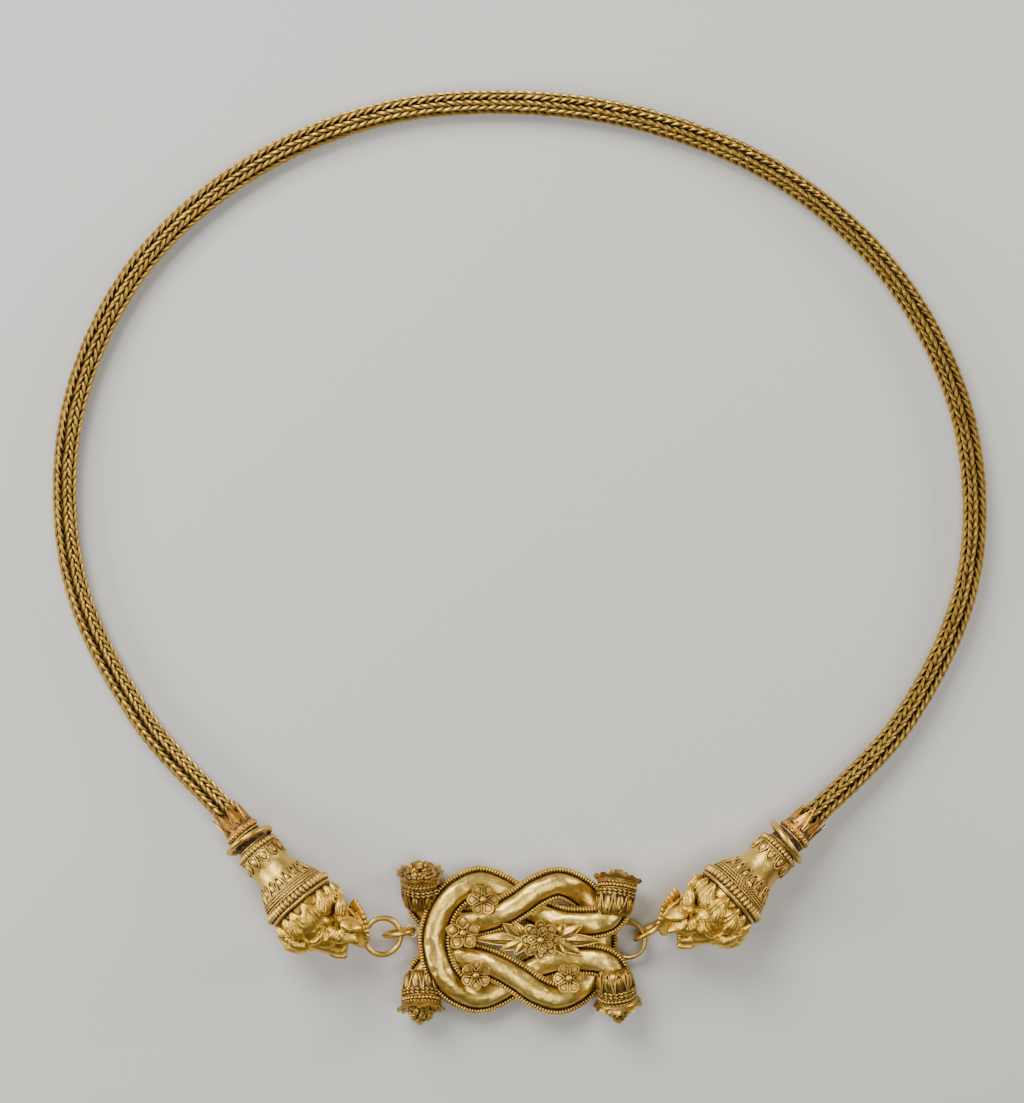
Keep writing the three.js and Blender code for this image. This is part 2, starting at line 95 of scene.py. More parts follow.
@dataclass
class Shell:
    """A closed surface or several.

    The corners are places in millimetres, and the faces are grouped by their number of corners.
    """

    corners: np.ndarray
    faces: list[np.ndarray]

    def moved(self, matrix: Matrix) -> "Shell":
        """Places the shell.

        Args:
            matrix: The placement; a mirroring one keeps the faces outward.

        Returns:
            A new shell.
        """
        m = np.array(matrix)
        faces = self.faces if np.linalg.det(m[:3, :3]) > 0 else [f[:, ::-1] for f in self.faces]
        return Shell(self.corners @ m[:3, :3].T + m[:3, 3], faces)

    def outward(self) -> "Shell":
        """Turns the faces outward, judged by the volume that they hold.

        Returns:
            The shell itself, or one with its faces turned round.
        """
        volume = 0.0
        for group in self.faces:
            first = self.corners[group[:, 0]]
            for k in range(1, group.shape[1] - 1):
                edge = np.cross(self.corners[group[:, k]], self.corners[group[:, k + 1]])
                volume += float((first * edge).sum())
        return self if volume > 0 else Shell(self.corners, [f[:, ::-1] for f in self.faces])


def joined(shells: Sequence[Shell]) -> Shell:
    """Puts shells together without welding them.

    Args:
        shells: The shells.

    Returns:
        One shell with all their faces.
    """
    faces: list[np.ndarray] = []
    start = 0
    for shell in shells:
        faces.extend(group + start for group in shell.faces)
        start += len(shell.corners)
    return Shell(np.vstack([shell.corners for shell in shells]), faces)


def unit(vectors: np.ndarray) -> np.ndarray:
    """The vectors at length one."""
    return vectors / np.maximum(np.linalg.norm(vectors, axis=-1, keepdims=True), 1e-12)


def smooth_route(points: Sequence[Point], per_span: int = 24) -> np.ndarray:
    """A centripetal Catmull-Rom line through points, as the solids have it.

    Args:
        points: The points that it passes.
        per_span: How many places it gets between two of them.

    Returns:
        The line's places, one a row.
    """
    p = np.array(points, float)
    p = np.vstack([2 * p[0] - p[1], p, 2 * p[-1] - p[-2]])
    t = np.linspace(0, 1, per_span, endpoint=False)[:, None]
    spans = []
    for a, b, c, d in zip(p[:-3], p[1:-2], p[2:-1], p[3:]):
        ab, bc, cd = (np.linalg.norm(y - x) ** 0.5 for x, y in ((a, b), (b, c), (c, d)))
        start = ((b - a) / ab - (c - a) / (ab + bc) + (c - b) / bc) * bc
        end = ((c - b) / bc - (d - b) / (bc + cd) + (d - c) / cd) * bc
        spans.append(
            b * (2 * t**3 - 3 * t**2 + 1) + c * (3 * t**2 - 2 * t**3)
            + start * (t**3 - 2 * t**2 + t) + end * (t**3 - t**2)
        )
    return np.vstack([*spans, p[-2:-1]])


def line_length(line: np.ndarray) -> float:
    """The length of a line of places."""
    return float(np.linalg.norm(np.diff(line, axis=0), axis=1).sum())


def spaced(line: np.ndarray, count: int) -> np.ndarray:
    """Spreads places evenly along a line.

    Args:
        line: The line's places.
        count: How many places are wanted.

    Returns:
        The evenly spaced places.
    """
    along = np.concatenate([[0], np.cumsum(np.linalg.norm(np.diff(line, axis=0), axis=1))])
    wanted = np.linspace(0, along[-1], count)
    return np.stack([np.interp(wanted, along, line[:, k]) for k in range(3)], axis=1)


@dataclass
class Track:
    """Stations along a line, each with its side and up directions."""

    points: np.ndarray
    sides: np.ndarray
    ups: np.ndarray

    @classmethod
    def level(cls, line: np.ndarray, count: int) -> "Track":
        """Stations whose side direction stays level.

        Args:
            line: The line's places.
            count: How many stations.

        Returns:
            The track.
        """
        points = spaced(line, count)
        tangents = unit(np.gradient(points, axis=0))
        sides = unit(np.stack([tangents[:, 1], -tangents[:, 0], np.zeros(count)], axis=1))
        return cls(points, sides, np.cross(sides, tangents))

    @classmethod
    def carried(cls, line: np.ndarray, ring: bool = False) -> "Track":
        """Stations whose side direction turns as little as it can.

        Args:
            line: The stations' places.
            ring: Whether the line closes on itself.

        Returns:
            The track.
        """
        if ring:
            tangents = unit(np.roll(line, -1, axis=0) - np.roll(line, 1, axis=0))
        else:
            tangents = unit(np.gradient(line, axis=0))
        least = np.eye(3)[np.argmin(np.abs(tangents).max(axis=0))]
        side = np.cross(tangents[0], least)
        sides = []
        for tangent in tangents:
            side = side - tangent * float(side @ tangent)
            side = side / np.linalg.norm(side)
            sides.append(side)
        sides = np.array(sides)
        return cls(line, sides, np.cross(sides, tangents))

    def shifted(self, across: float, rise: float) -> "Track":
        """The track moved to its side and up."""
        return Track(self.points + self.sides * across + self.ups * rise, self.sides, self.ups)


def swept(track: Track, section: np.ndarray, ring: bool = False) -> Shell:
    """Carries a section along a track.

    Args:
        track: The stations.
        section: Across and rise of each corner, one outline for all stations or one for each.
        ring: Whether the last station joins the first.

    Returns:
        The closed shell.
    """
    count = len(track.points)
    section = np.broadcast_to(section, (count, *section.shape[-2:]))
    across, rise = section[..., :1], section[..., 1:]
    corners = track.points[:, None] + track.sides[:, None] * across + track.ups[:, None] * rise
    grid = np.arange(count * section.shape[1]).reshape(count, -1)
    near, far = (grid, np.roll(grid, -1, axis=0)) if ring else (grid[:-1], grid[1:])
    quads = np.stack([near, np.roll(near, -1, axis=1), np.roll(far, -1, axis=1), far], axis=-1)
    faces = [quads.reshape(-1, 4)]
    if not ring:
        faces += [grid[:1, ::-1], grid[-1:]]
    return Shell(corners.reshape(-1, 3), faces).outward()


def circle(radii: np.ndarray | float, sides: int, turn: np.ndarray | float = 0.0) -> np.ndarray:
    """Round sections.

    Args:
        radii: One radius, or one for each station.
        sides: How many corners.
        turn: How far each section is turned, in radians.

    Returns:
        The sections' corners.
    """
    angles = 2 * np.pi * np.arange(sides) / sides + np.asarray(turn)[..., None]
    radii = np.asarray(radii)[..., None]
    return np.stack([radii * np.cos(angles), radii * np.sin(angles)], axis=-1)


# A bead's radii from one groove to the next, and the stations and lobes of a half turn of rope
BEAD_WAVE = np.array([0.45, 0.9, 1.0, 0.9])
ROPE_STATIONS = 7
ROPE_LOBE = 0.3


def wire(line: np.ndarray, radius: float, work: Wire, pitch: float = 0.4, sides: int = 8,
         ring: bool = False) -> Shell:
    """A wire along a line.

    Args:
        line: The line's places.
        radius: The wire's radius at its thickest.
        work: Plain, beaded or roped.
        pitch: The length of a bead, or of a half turn of the rope.
        sides: How many corners a section has.
        ring: Whether it closes on itself.

    Returns:
        The closed shell.
    """
    closed = np.vstack([line, line[:1]]) if ring else line
    length = line_length(closed)
    repeats = max(3, round(length / pitch))
    if work is Wire.PLAIN:
        stations = len(line) + int(ring)
    else:
        stations = repeats * (len(BEAD_WAVE) if work is Wire.BEADED else ROPE_STATIONS) + 1
    places = spaced(closed, stations)
    places = places[:-1] if ring else places
    track = Track.carried(places, ring)
    steps = np.arange(len(places))
    if work is Wire.BEADED:
        section = circle(radius * BEAD_WAVE[steps % len(BEAD_WAVE)], sides)
    elif work is Wire.ROPE:
        lobes = 1 + ROPE_LOBE * np.cos(4 * np.pi * np.arange(sides) / sides)
        thin = np.full(len(places), radius / (1 + ROPE_LOBE))
        section = circle(thin, sides, np.pi * steps / ROPE_STATIONS)
        section = section * lobes[None, :, None]
    else:
        section = circle(radius, sides)
    return swept(track, section, ring)


def hoop(along: float, radius: float, places: int = 96) -> np.ndarray:
    """Places round the X axis.

    Args:
        along: Where on the axis.
        radius: The hoop's radius.
        places: How many places.

    Returns:
        The places.
    """
    angles = 2 * np.pi * np.arange(places) / places
    return np.stack([np.full(places, along), radius * np.cos(angles), radius * np.sin(angles)], axis=1)


@dataclass(frozen=True)
class Band:
    """A wire hoop round the X axis: where it stands, how far out, and its wire."""

    along: float
    reach: float
    radius: float
    work: Wire = Wire.PLAIN
    pitch: float = 0.4
    sides: int = 8

    def shell(self) -> Shell:
        """The hoop's closed shell."""
        line = hoop(self.along, self.reach)
        return wire(line, self.radius, self.work, self.pitch, self.sides, ring=True)


def deselect_all() -> None:
    """Leaves object mode and selects nothing."""
    if bpy.context.mode != "OBJECT":
        bpy.ops.object.mode_set(mode="OBJECT")
    bpy.ops.object.select_all(action="DESELECT")


def take_only(obj: bpy.types.Object) -> None:
    """Selects one object alone and makes it the active one.

    Args:
        obj: The object.
    """
    deselect_all()
    obj.select_set(True)
    bpy.context.view_layer.objects.active = obj


def shell_of(obj: bpy.types.Object) -> Shell:
    """The mesh of an object as a shell, in its own units.

    Args:
        obj: The object, placed or not.

    Returns:
        The shell, in place.
    """
    mesh = obj.data
    corners = np.zeros(len(mesh.vertices) * 3, np.float32)
    mesh.vertices.foreach_get("co", corners)
    corners = corners.reshape(-1, 3).astype(float)
    corners = corners @ np.array(obj.matrix_world)[:3, :3].T + np.array(obj.matrix_world)[:3, 3]
    index = np.zeros(len(mesh.loops), np.int32)
    mesh.loops.foreach_get("vertex_index", index)
    sizes = np.zeros(len(mesh.polygons), np.int32)
    starts = np.zeros(len(mesh.polygons), np.int32)
    mesh.polygons.foreach_get("loop_total", sizes)
    mesh.polygons.foreach_get("loop_start", starts)
    faces = [index[starts[sizes == n][:, None] + np.arange(n)] for n in np.unique(sizes)]
    return Shell(corners, faces)


def lifted(obj: bpy.types.Object) -> Shell:
    """Takes an object's mesh as a shell and removes the object.

    Args:
        obj: The object.

    Returns:
        The shell, its faces outward.
    """
    deselect_all()
    bpy.context.view_layer.update()
    shell = shell_of(obj)
    bpy.data.objects.remove(obj)
    return shell.outward()


def object_of(name: str, shell: Shell) -> bpy.types.Object:
    """Makes an object of a shell, in the shell's own units.

    Args:
        name: The object's name.
        shell: Its faces.

    Returns:
        The object, in the scene.
    """
    mesh = bpy.data.meshes.new(name)
    index = np.concatenate([group.ravel() for group in shell.faces])
    sizes = np.concatenate([np.full(len(group), group.shape[1]) for group in shell.faces])
    mesh.vertices.add(len(shell.corners))
    mesh.vertices.foreach_set("co", shell.corners.astype(np.float32).ravel())
    mesh.loops.add(len(index))
    mesh.loops.foreach_set("vertex_index", index.astype(np.int32))
    mesh.polygons.add(len(sizes))
    mesh.polygons.foreach_set("loop_start", (np.cumsum(sizes) - sizes).astype(np.int32))
    mesh.update(calc_edges=True)
    mesh.validate()
    obj = bpy.data.objects.new(name, mesh)
    bpy.context.scene.collection.objects.link(obj)
    return obj


def ball(segments: int = 12, rings: int = 8) -> Shell:
    """A round ball of radius one.

    Args:
        segments: Its parts round.
        rings: Its parts from pole to pole.

    Returns:
        The closed shell.
    """
    deselect_all()
    bpy.ops.mesh.primitive_uv_sphere_add(segments=segments, ring_count=rings, radius=1)
    return lifted(bpy.context.object)


def turned(profile: Sequence[Pair], steps: int) -> Shell:
    """Spins a profile round the X axis.

    Args:
        profile: Distance along the axis and radius of each corner, from the axis to the axis or closed.
        steps: How many steps the spin has.

    Returns:
        The closed shell.
    """
    mesh = bpy.data.meshes.new("profile")
    mesh.from_pydata([(x, r, 0) for x, r in profile], [(i, i + 1) for i in range(len(profile) - 1)], [])
    obj = bpy.data.objects.new("profile", mesh)
    bpy.context.scene.collection.objects.link(obj)
    take_only(obj)
    bpy.ops.object.mode_set(mode="EDIT")
    bpy.ops.mesh.select_all(action="SELECT")
    bpy.ops.mesh.spin(steps=steps, angle=2 * math.pi, center=(0, 0, 0), axis=(1, 0, 0))
    bpy.ops.mesh.select_all(action="SELECT")
    bpy.ops.mesh.remove_doubles(threshold=WELD)
    bpy.ops.mesh.normals_make_consistent(inside=False)
    bpy.ops.object.mode_set(mode="OBJECT")
    return lifted(obj)


# How a hand-made ring is segmented, and its waves: turns, start and share
RING_SEGMENTS = (72, 16)
RING_WAVES = ((3, 0.7, 1.0), (7, 0.0, 0.6))


def ring_shell(radius: float, thickness: float, wobble: float = 0.02) -> Shell:
    """A hand-made wire ring in the XY plane.

    Args:
        radius: Its mean radius.
        thickness: The wire's radius.
        wobble: How uneven it is, as a share of the radius.

    Returns:
        The closed shell.
    """
    deselect_all()
    bpy.ops.mesh.primitive_torus_add(
        major_radius=radius, minor_radius=thickness,
        major_segments=RING_SEGMENTS[0], minor_segments=RING_SEGMENTS[1])
    shell = lifted(bpy.context.object)
    angle = np.arctan2(shell.corners[:, 1], shell.corners[:, 0])
    waves = sum(share * np.sin(turns * angle + start) for turns, start, share in RING_WAVES)
    uneven = 1 + wobble * thickness / radius * waves
    shell.corners[:, :2] *= uneven[:, None]
    return shell


# The attribute that says how enclosed a surface is, for painted shade in the hollows, its gloss, and the
# depth of the finest dents
HOLLOWNESS = "hollow_shade"
SPECULAR = 0.5
DENT_DEPTH = 0.12


@dataclass(frozen=True)
class GoldFinish:
    """One finish of the ancient gold.

    The colours are linear. The shade colour is mottled in as random tone and painted dark reflections, the
    film is the thin reddish or brown skin, and the hollow shade colour is painted shade, with specks of
    dirt, in the hollows.
    """

    name: str
    slot: str
    metal: Colour
    shade: Colour
    film: Colour
    hollow_shade: Colour
    film_share: float
    hollow_shade_share: float
    roughness: float
    dents: float

    def material(self, patina: bpy.types.NodeTree) -> bpy.types.Material:
        """Builds the finish as a material.

        Args:
            patina: The shared patina node group.

        Returns:
            The material.
        """
        material = bpy.data.materials.new(self.name)
        material.use_nodes = True
        nodes = material.node_tree.nodes
        links = material.node_tree.links
        shader = nodes["Principled BSDF"]
        shader.inputs["Specular IOR Level"].default_value = SPECULAR
        group = nodes.new("ShaderNodeGroup")
        group.node_tree = patina
        for socket, value in (
            ("Metal", self.metal), ("Shade", self.shade), ("Film", self.film),
            ("Hollow Shade Colour", self.hollow_shade),
            ("Film Share", self.film_share), ("Hollow Shade Share", self.hollow_shade_share),
            ("Base Roughness", self.roughness),
        ):
            group.inputs[socket].default_value = value
        bump = nodes.new("ShaderNodeBump")
        bump.inputs["Strength"].default_value = self.dents
        bump.inputs["Distance"].default_value = DENT_DEPTH * MM
        links.new(group.outputs["Colour"], shader.inputs["Base Color"])
        for name in ("Roughness", "Metallic"):
            links.new(group.outputs[name], shader.inputs[name])
        links.new(group.outputs["Height"], bump.inputs["Height"])
        links.new(bump.outputs["Normal"], shader.inputs["Normal"])
        return material


@dataclass(frozen=True)
class Patina:
    """The patina that every finish shares: tone mottled with painted dark reflections, reddish film,
    painted shade with specks of dirt in the hollows, and small dents.

    A noise is given as its spots a metre and its detail, and a range as its ends, with those that it is
    spread over where they aren't nought and one.
    """

    # Mottle of the darker shade colour: partly random tone, partly painted dark reflections
    tone_and_reflection: Pair = (330, 3)
    tone_and_reflection_range: Pair = (0.42, 0.66)
    tone_and_reflection_share: float = 0.75
    patches: Pair = (120, 4)
    patch_range: Pair = (0.46, 0.66)
    film_in_hollows: float = 1.5
    grain: Pair = (1500, 3)
    specks: Pair = (2600, 2)
    speck_range: Pair = (0.62, 0.72)
    specks_in_hollows: float = 0.5
    # Painted shade in the hollows with specks of dirt: the shade's range over the enclosure, its grain, and
    # how it roughens and dulls the metal
    hollow_shade_range: Pair = (0.14, 0.55)
    shade_and_dirt_grain: tuple[float, float, float, float] = (0.25, 0.6, 0.55, 1.15)
    shade_and_dirt_roughness: float = 0.3
    grain_roughness: tuple[float, float, float, float] = (0.3, 0.7, -0.04, 0.08)
    shade_and_dirt_metallic: float = 0.55
    dents: Pair = (520, 2)
    dent_height: float = 2.2
    grain_height: float = 0.35

    def group(self) -> bpy.types.NodeTree:
        """Builds the patina's node group.

        Returns:
            The node group.
        """
        tree = bpy.data.node_groups.new("gold_patina", "ShaderNodeTree")
        face = tree.interface
        for name in ("Metal", "Shade", "Film", "Hollow Shade Colour"):
            face.new_socket(name, in_out="INPUT", socket_type="NodeSocketColor")
        for name in ("Film Share", "Hollow Shade Share", "Base Roughness"):
            face.new_socket(name, in_out="INPUT", socket_type="NodeSocketFloat")
        face.new_socket("Colour", in_out="OUTPUT", socket_type="NodeSocketColor")
        for name in ("Roughness", "Metallic", "Height"):
            face.new_socket(name, in_out="OUTPUT", socket_type="NodeSocketFloat")
        start = tree.nodes.new("NodeGroupInput")
        end = tree.nodes.new("NodeGroupOutput")
        place = tree.nodes.new("ShaderNodeTexCoord")

        def noise(scale: float, detail: float) -> bpy.types.NodeSocket:
            """A noise of that many spots a metre.

            Args:
                scale: The spots a metre.
                detail: Its detail.

            Returns:
                The noise's value.
            """
            node = tree.nodes.new("ShaderNodeTexNoise")
            node.inputs["Scale"].default_value = scale
            node.inputs["Detail"].default_value = detail
            tree.links.new(place.outputs["Object"], node.inputs["Vector"])
            return node.outputs["Fac"]

        def ranged(value: bpy.types.NodeSocket, low: float, high: float, to_low: float = 0.0,
                   to_high: float = 1.0) -> bpy.types.NodeSocket:
            """The value spread from one range over another, and clamped.

            Args:
                value: The value.
                low: The range's low end.
                high: Its high end.
                to_low: The new low end.
                to_high: The new high end.

            Returns:
                The spread value.
            """
            node = tree.nodes.new("ShaderNodeMapRange")
            ends = (("From Min", low), ("From Max", high), ("To Min", to_low), ("To Max", to_high))
            for socket, number in ends:
                node.inputs[socket].default_value = number
            tree.links.new(value, node.inputs["Value"])
            return node.outputs["Result"]

        def maths(operation: str, first: bpy.types.NodeSocket, second: bpy.types.NodeSocket | float,
                  clamp: bool = False) -> bpy.types.NodeSocket:
            """One sum on two values.

            Args:
                operation: The sum's name.
                first: One value.
                second: The other, linked or fixed.
                clamp: Whether the result stays between nought and one.

            Returns:
                The result.
            """
            node = tree.nodes.new("ShaderNodeMath")
            node.operation = operation
            node.use_clamp = clamp
            tree.links.new(first, node.inputs[0])
            if isinstance(second, float):
                node.inputs[1].default_value = second
            else:
                tree.links.new(second, node.inputs[1])
            return node.outputs["Value"]

        def mixed(share: bpy.types.NodeSocket, first: bpy.types.NodeSocket,
                  second: bpy.types.NodeSocket) -> bpy.types.NodeSocket:
            """Two colours mixed by a share.

            Args:
                share: The second one's share.
                first: One colour.
                second: The other.

            Returns:
                The mixed colour.
            """
            node = tree.nodes.new("ShaderNodeMix")
            node.data_type = "RGBA"
            tree.links.new(share, node.inputs["Factor"])
            tree.links.new(first, node.inputs["A"])
            tree.links.new(second, node.inputs["B"])
            return node.outputs["Result"]

        # How enclosed the surface is: it sets the painted shade, the specks and part of the film in the
        # hollows
        hollow = tree.nodes.new("ShaderNodeAttribute")
        hollow.attribute_name = HOLLOWNESS
        hollow_shade = hollow.outputs["Fac"]
        tone_and_reflection = ranged(noise(*self.tone_and_reflection), *self.tone_and_reflection_range)
        patches = ranged(noise(*self.patches), *self.patch_range)
        grain = noise(*self.grain)
        specks = ranged(noise(*self.specks), *self.speck_range)
        # Mottles the metal with its shade colour, partly random tone and partly painted dark reflections
        tone_and_reflection = maths("MULTIPLY", tone_and_reflection, self.tone_and_reflection_share)
        colour = mixed(tone_and_reflection, start.outputs["Metal"], start.outputs["Shade"])
        film = maths("ADD", patches, maths("MULTIPLY", hollow_shade, self.film_in_hollows))
        film = maths("MULTIPLY", film, start.outputs["Film Share"], True)
        colour = mixed(film, colour, start.outputs["Film"])
        # Painted shade in the hollows, broken by grain, with specks of dirt added; it also roughens and
        # dulls the surface
        shade_and_dirt = maths("MULTIPLY", ranged(hollow_shade, *self.hollow_shade_range), ranged(grain, *self.shade_and_dirt_grain))
        specks = maths("MULTIPLY", specks, maths("MULTIPLY", hollow_shade, self.specks_in_hollows))
        shade_and_dirt = maths("MULTIPLY", maths("ADD", shade_and_dirt, specks), start.outputs["Hollow Shade Share"], True)
        colour = mixed(shade_and_dirt, colour, start.outputs["Hollow Shade Colour"])
        tree.links.new(colour, end.inputs["Colour"])
        rough = maths("ADD", start.outputs["Base Roughness"], maths("MULTIPLY", shade_and_dirt, self.shade_and_dirt_roughness))
        rough = maths("ADD", rough, ranged(grain, *self.grain_roughness), True)
        tree.links.new(rough, end.inputs["Roughness"])
        tree.links.new(ranged(shade_and_dirt, 0.0, 1.0, 1.0, self.shade_and_dirt_metallic), end.inputs["Metallic"])
        dents = maths("MULTIPLY", noise(*self.dents), self.dent_height)
        height = maths("ADD", dents, maths("MULTIPLY", grain, self.grain_height))
        tree.links.new(height, end.inputs["Height"])
        return tree


# Painted shade for the hollows: a dark brown and a purplish brown
HOLLOW_SHADE = (0.035, 0.016, 0.006, 1)
PURPLE_HOLLOW_SHADE = (0.05, 0.022, 0.015, 1)

# Each finish: name, slot, metal, shade colour for the mottle of random tone and painted dark reflections,
# film, painted shade in the hollows, film share, hollow shade share, roughness and dents
CHAIN_GOLD = GoldFinish(
    "woven_chain_gold", "chain_gold", (0.53, 0.335, 0.07, 1), (0.40, 0.245, 0.045, 1),
    (0.32, 0.16, 0.035, 1), (0.014, 0.007, 0.003, 1), 0.25, 1.0, 0.41, 0.25)
SHEET_GOLD = GoldFinish(
    "polished_sheet_gold", "sheet_gold", (0.95, 0.67, 0.17, 1), (0.62, 0.45, 0.085, 1),
    (0.50, 0.29, 0.055, 1), HOLLOW_SHADE, 0.3, 1.0, 0.36, 0.8)
SLEEVE_GOLD = GoldFinish(
    "filmed_sleeve_gold", "sheet_gold", (0.80, 0.55, 0.14, 1), (0.60, 0.41, 0.09, 1),
    (0.54, 0.27, 0.05, 1), PURPLE_HOLLOW_SHADE, 0.6, 1.0, 0.4, 0.6)
WIRE_GOLD = GoldFinish(
    "drawn_wire_gold", "wire_gold", (0.78, 0.52, 0.115, 1), (0.58, 0.375, 0.07, 1),
    (0.38, 0.20, 0.035, 1), HOLLOW_SHADE, 0.25, 1.0, 0.34, 0.35)
LION_GOLD = GoldFinish(
    "chased_lion_gold", "lion_gold", (0.86, 0.56, 0.095, 1), (0.64, 0.42, 0.06, 1),
    (0.50, 0.26, 0.05, 1), HOLLOW_SHADE, 0.35, 1.0, 0.36, 0.5)
FINIAL_GOLD = GoldFinish(
    "finial_gold", "lion_gold", (0.57, 0.36, 0.07, 1), (0.39, 0.245, 0.045, 1),
    (0.28, 0.14, 0.05, 1), PURPLE_HOLLOW_SHADE, 0.45, 1.0, 0.36, 0.45)
LEAF_GOLD = GoldFinish(
    "red_filmed_leaf_gold", "leaf_gold", (0.70, 0.42, 0.09, 1), (0.58, 0.31, 0.055, 1),
    (0.54, 0.215, 0.035, 1), PURPLE_HOLLOW_SHADE, 0.75, 1.0, 0.36, 0.4)
ROSETTE_GOLD = GoldFinish(
    "rosette_gold", "leaf_gold", (0.84, 0.57, 0.13, 1), (0.62, 0.39, 0.075, 1),
    (0.42, 0.21, 0.045, 1), PURPLE_HOLLOW_SHADE, 0.45, 1.0, 0.34, 0.5)


class Workshop:
    """Turns shells into finished pieces: material, smooth faces, and their tie to the solids.

    Attributes:
        REACH: How far a neighbouring surface counts as enclosing, in millimetres.
        SPOKES, TILT, TURN: The slanted rays round the normal: how many, how slanted, and where they start.
        ASIDE: Any direction that no normal follows, from which the slanted rays are laid out.
        LIFT: How far from the surface a ray starts, as a share of the reach.
        FADE: How much less a surface at the end of the reach counts.
    """

    REACH = 1.1
    SPOKES = 4
    TILT = math.radians(52)
    TURN = 0.4
    ASIDE = (0.31, 0.52, 0.79)
    LIFT = 0.02
    FADE = 0.6

    def __init__(self) -> None:
        """Builds the shared patina and starts an empty list of pieces."""
        self.patina = Patina().group()
        self.materials: dict[str, bpy.types.Material] = {}
        self.pieces: list[bpy.types.Object] = []

    def settle(self, name: str, shell: Shell, finish: GoldFinish, stands_for: str) -> None:
        """Makes a finished piece.

        Args:
            name: The piece's name.
            shell: Its faces in millimetres, in place.
            finish: Its finish.
            stands_for: The solid that it replaces.
        """
        piece = object_of(name, Shell(shell.corners * MM, shell.faces))
        if finish.name not in self.materials:
            self.materials[finish.name] = finish.material(self.patina)
        piece.data.materials.append(self.materials[finish.name])
        take_only(piece)
        bpy.ops.object.shade_smooth_by_angle(angle=SMOOTH_ANGLE)
        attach(piece, BODY)
        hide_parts(stands_for)
        self.pieces.append(piece)
        log.info("%s: %d faces", name, len(piece.data.polygons))

    def measure_recesses(self) -> None:
        """Writes how enclosed each corner of each piece is, as the attribute from which the patina paints
        shade in the hollows.
        """
        corners: list[np.ndarray] = []
        faces: list[list[int]] = []
        start = 0
        for piece in self.pieces:
            shell = shell_of(piece)
            corners.append(shell.corners)
            for group in shell.faces:
                faces.extend((group + start).tolist())
            start += len(shell.corners)
        tree = BVHTree.FromPolygons(np.vstack(corners).tolist(), faces)
        spokes = [(0.0, 0.0, 1.0)]
        for k in range(self.SPOKES):
            turn = 2 * math.pi * k / self.SPOKES + self.TURN
            across, over = math.sin(self.TILT) * math.cos(turn), math.sin(self.TILT) * math.sin(turn)
            spokes.append((across, over, math.cos(self.TILT)))
        for piece in self.pieces:
            self._write_recess(piece, tree, np.array(spokes))

    def _write_recess(self, piece: bpy.types.Object, tree: BVHTree, spokes: np.ndarray) -> None:
        """Casts a few short rays from each corner of one piece.

        Args:
            piece: The piece.
            tree: All pieces' faces.
            spokes: The rays' directions about the normal.
        """
        reach = self.REACH * MM
        mesh = piece.data
        count = len(mesh.vertices)
        places = np.zeros(count * 3, np.float32)
        normals = np.zeros(count * 3, np.float32)
        mesh.vertices.foreach_get("co", places)
        mesh.vertex_normals.foreach_get("vector", normals)
        places = places.reshape(-1, 3).astype(float)
        normals = unit(normals.reshape(-1, 3).astype(float))
        first = unit(np.cross(normals, self.ASIDE))
        second = np.cross(normals, first)
        starts = places + normals * reach * self.LIFT
        hidden = np.zeros(count)
        for across, over, out in spokes:
            ways = first * across + second * over + normals * out
            for k in range(count):
                distance = tree.ray_cast(starts[k], ways[k], reach)[3]
                if distance is not None:
                    hidden[k] += 1 - self.FADE * distance / reach
        attribute = mesh.attributes.new(HOLLOWNESS, "FLOAT", "POINT")
        attribute.data.foreach_set("value", (hidden / len(spokes)).astype(np.float32))


@dataclass
class TerminalPlace:
    """Where a terminal lies: its leaf tips, its heading in plan, and its rise from the table."""

    side: Side
    tips: Pair
    heading: float
    rise: float = 8.2
    height: float = 3.65
    crown_turn: float = CROWN_TURN

    def matrix(self) -> Matrix:
        """The terminal's frame: X along the axis, Y to the lion's crown, Z to its side.

        Returns:
            The placement, in millimetres.
        """
        turn, rise, crown_turn = (math.radians(a) for a in (self.heading, self.rise, self.crown_turn))
        axis = Vector((math.cos(turn) * math.cos(rise), math.sin(turn) * math.cos(rise), math.sin(rise)))
        lift = Vector((-math.cos(turn) * math.sin(rise), -math.sin(turn) * math.sin(rise), math.cos(rise)))
        outward = axis.cross(lift) * -self.side.sign
        crown = outward * math.cos(crown_turn) + lift * math.sin(crown_turn)
        basis = Matrix((axis, crown, axis.cross(crown))).transposed().to_4x4()
        return Matrix.Translation((*self.tips, self.height)) @ basis

    def along(self, distance: float) -> np.ndarray:
        """A place on the terminal's axis."""
        return np.array(self.matrix() @ Vector((distance, 0, 0)))


LEFT_PLACE = TerminalPlace(Side.LEFT, (-50.2, -42.8), -49.0)
RIGHT_PLACE = TerminalPlace(Side.RIGHT, (50.2, -43.5), -137.3)


